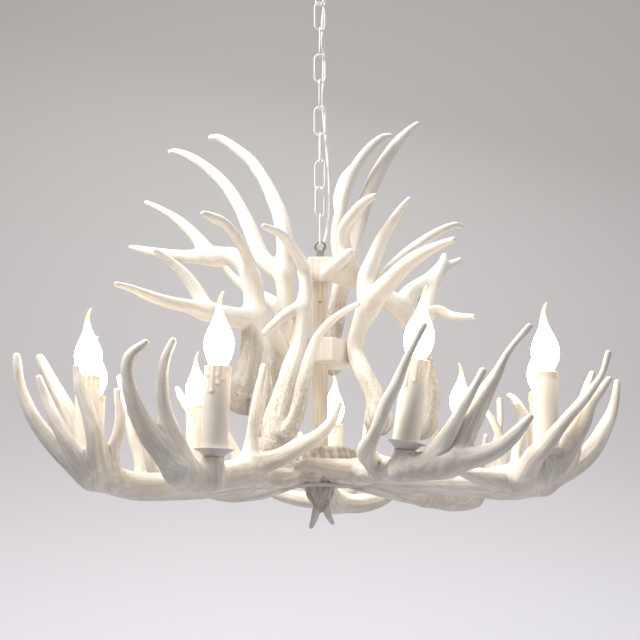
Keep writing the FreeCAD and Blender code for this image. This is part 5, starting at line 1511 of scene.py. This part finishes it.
class CHANDELIER_OT_ceiling(PieceOperator):
    """The canopy and its round nut."""
    bl_idname = "chandelier.ceiling"
    bl_label = "Ceiling"

    def execute(self, context):
        look = context.scene.body_look
        material = painted_metal("canopy_paint", look.chain, look.chain_shade, 0.3)
        self.canopy(material)
        self.collar(material)
        return {"FINISHED"}

    def canopy(self, material):
        """The canopy: a turned bell, its inside two millimetres in and up, and a flat floor."""
        bell = smooth_curve([(31, CANOPY_FLOOR), (40, -31.2), (46.5, -27), (50.5, -18), (53.5, -9),
                             (54.8, -4), (55, 0)], 8)
        inside = (bell + (-CANOPY_WALL, CANOPY_WALL))[::-1]
        floor = [(SHANK_RADIUS, CANOPY_FLOOR), (12, CANOPY_FLOOR), (22, CANOPY_FLOOR)]
        roof = [(22, CANOPY_FLOOR + CANOPY_WALL), (SHANK_RADIUS, CANOPY_FLOOR + CANOPY_WALL)]
        profile = np.vstack([floor, bell, inside, roof])
        profile[:, 1] = np.clip(profile[:, 1], CANOPY_FLOOR, 0)
        made = mesh_object("canopy_look", ringed(lathe(profile, 128)), sharp=50)
        place_piece(made, "ceiling", material, "canopy")

    def collar(self, material):
        """The round nut under the canopy."""
        ring = [(SHANK_RADIUS, -40), (9, -40), (10, -39), (10, -32.6), (9.6, CANOPY_FLOOR),
                (SHANK_RADIUS, CANOPY_FLOOR)]
        made = mesh_object("canopy_collar_look", ringed(lathe(rounded(ring, 0.4), 64)), sharp=50)
        place_piece(made, "ceiling", material, "canopy_collar")


class CHANDELIER_OT_fittings(PieceOperator):
    """Finishes on the pieces that keep the frame's own shape: fasteners, holders, caps and leads."""
    bl_idname = "chandelier.fittings"
    bl_label = "Fittings"

    def execute(self, context):
        look = context.scene.body_look
        steel = zinc_steel("zinc_steel")
        plastic = sheath("holder_plastic", (0.86, 0.85, 0.82), (0.80, 0.79, 0.76))
        cap_metal = zinc_steel("bulb_cap_metal", (0.72, 0.70, 0.66))
        groups = (
            (steel, ("antler_studs", "hub_screws", "centre_rod", "rod_nut", "nipples", "ceiling_strap")),
            (plastic, ("lamp_holders", "hub_terminal", "ceiling_terminal")),
            (painted_metal("clip_paint", look.chain, look.chain_shade), ("cord_clip",)),
            (sheath("inner_sheath", look.cord, look.cord_shade), ("inner_lead",)),
            (cap_metal, ["bulb_cap_%d" % number for number in BULB_TURNS]),
        )
        for material, names in groups:
            for name in names:
                paint(frame["nodes"][name], material)
        return {"FINISHED"}


OPERATORS = (CHANDELIER_OT_stage, CHANDELIER_OT_cords, CHANDELIER_OT_antlers, CHANDELIER_OT_finial,
             CHANDELIER_OT_hub, CHANDELIER_OT_column, CHANDELIER_OT_candles, CHANDELIER_OT_bulbs,
             CHANDELIER_OT_chain, CHANDELIER_OT_ceiling, CHANDELIER_OT_fittings)


class CHANDELIER_PT_panel(bpy.types.Panel):
    """Lists the looks and the pieces."""
    bl_idname = "CHANDELIER_PT_panel"
    bl_label = "Antler Chandelier"
    bl_space_type = "VIEW_3D"
    bl_region_type = "UI"
    bl_category = "Antler Chandelier"

    def draw(self, context):
        """A button for each operator and a box for each group of properties."""
        for operator in OPERATORS:
            self.layout.operator(operator.bl_idname)
        for name, group in LOOKS.items():
            box = self.layout.box()
            box.label(text=name.replace("_", " ").capitalize())
            for key in group.__annotations__:
                box.prop(getattr(context.scene, name), key)


def register():
    """Makes the properties, the operators and the panel known."""
    for group in LOOKS.values():
        bpy.utils.register_class(group)
    for operator in OPERATORS:
        bpy.utils.register_class(operator)
    bpy.utils.register_class(CHANDELIER_PT_panel)
    for name, group in LOOKS.items():
        setattr(bpy.types.Scene, name, bpy.props.PointerProperty(type=group))


def unregister():
    """Takes them away again, in the other order."""
    for name in LOOKS:
        delattr(bpy.types.Scene, name)
    bpy.utils.unregister_class(CHANDELIER_PT_panel)
    for operator in reversed(OPERATORS):
        bpy.utils.unregister_class(operator)
    for group in reversed(LOOKS.values()):
        bpy.utils.unregister_class(group)


def main():
    """Builds every piece in order."""
    register()
    for operator in OPERATORS:
        group, action = operator.bl_idname.split(".")
        getattr(getattr(bpy.ops, group), action)()


if __name__ == "__main__":
    main()
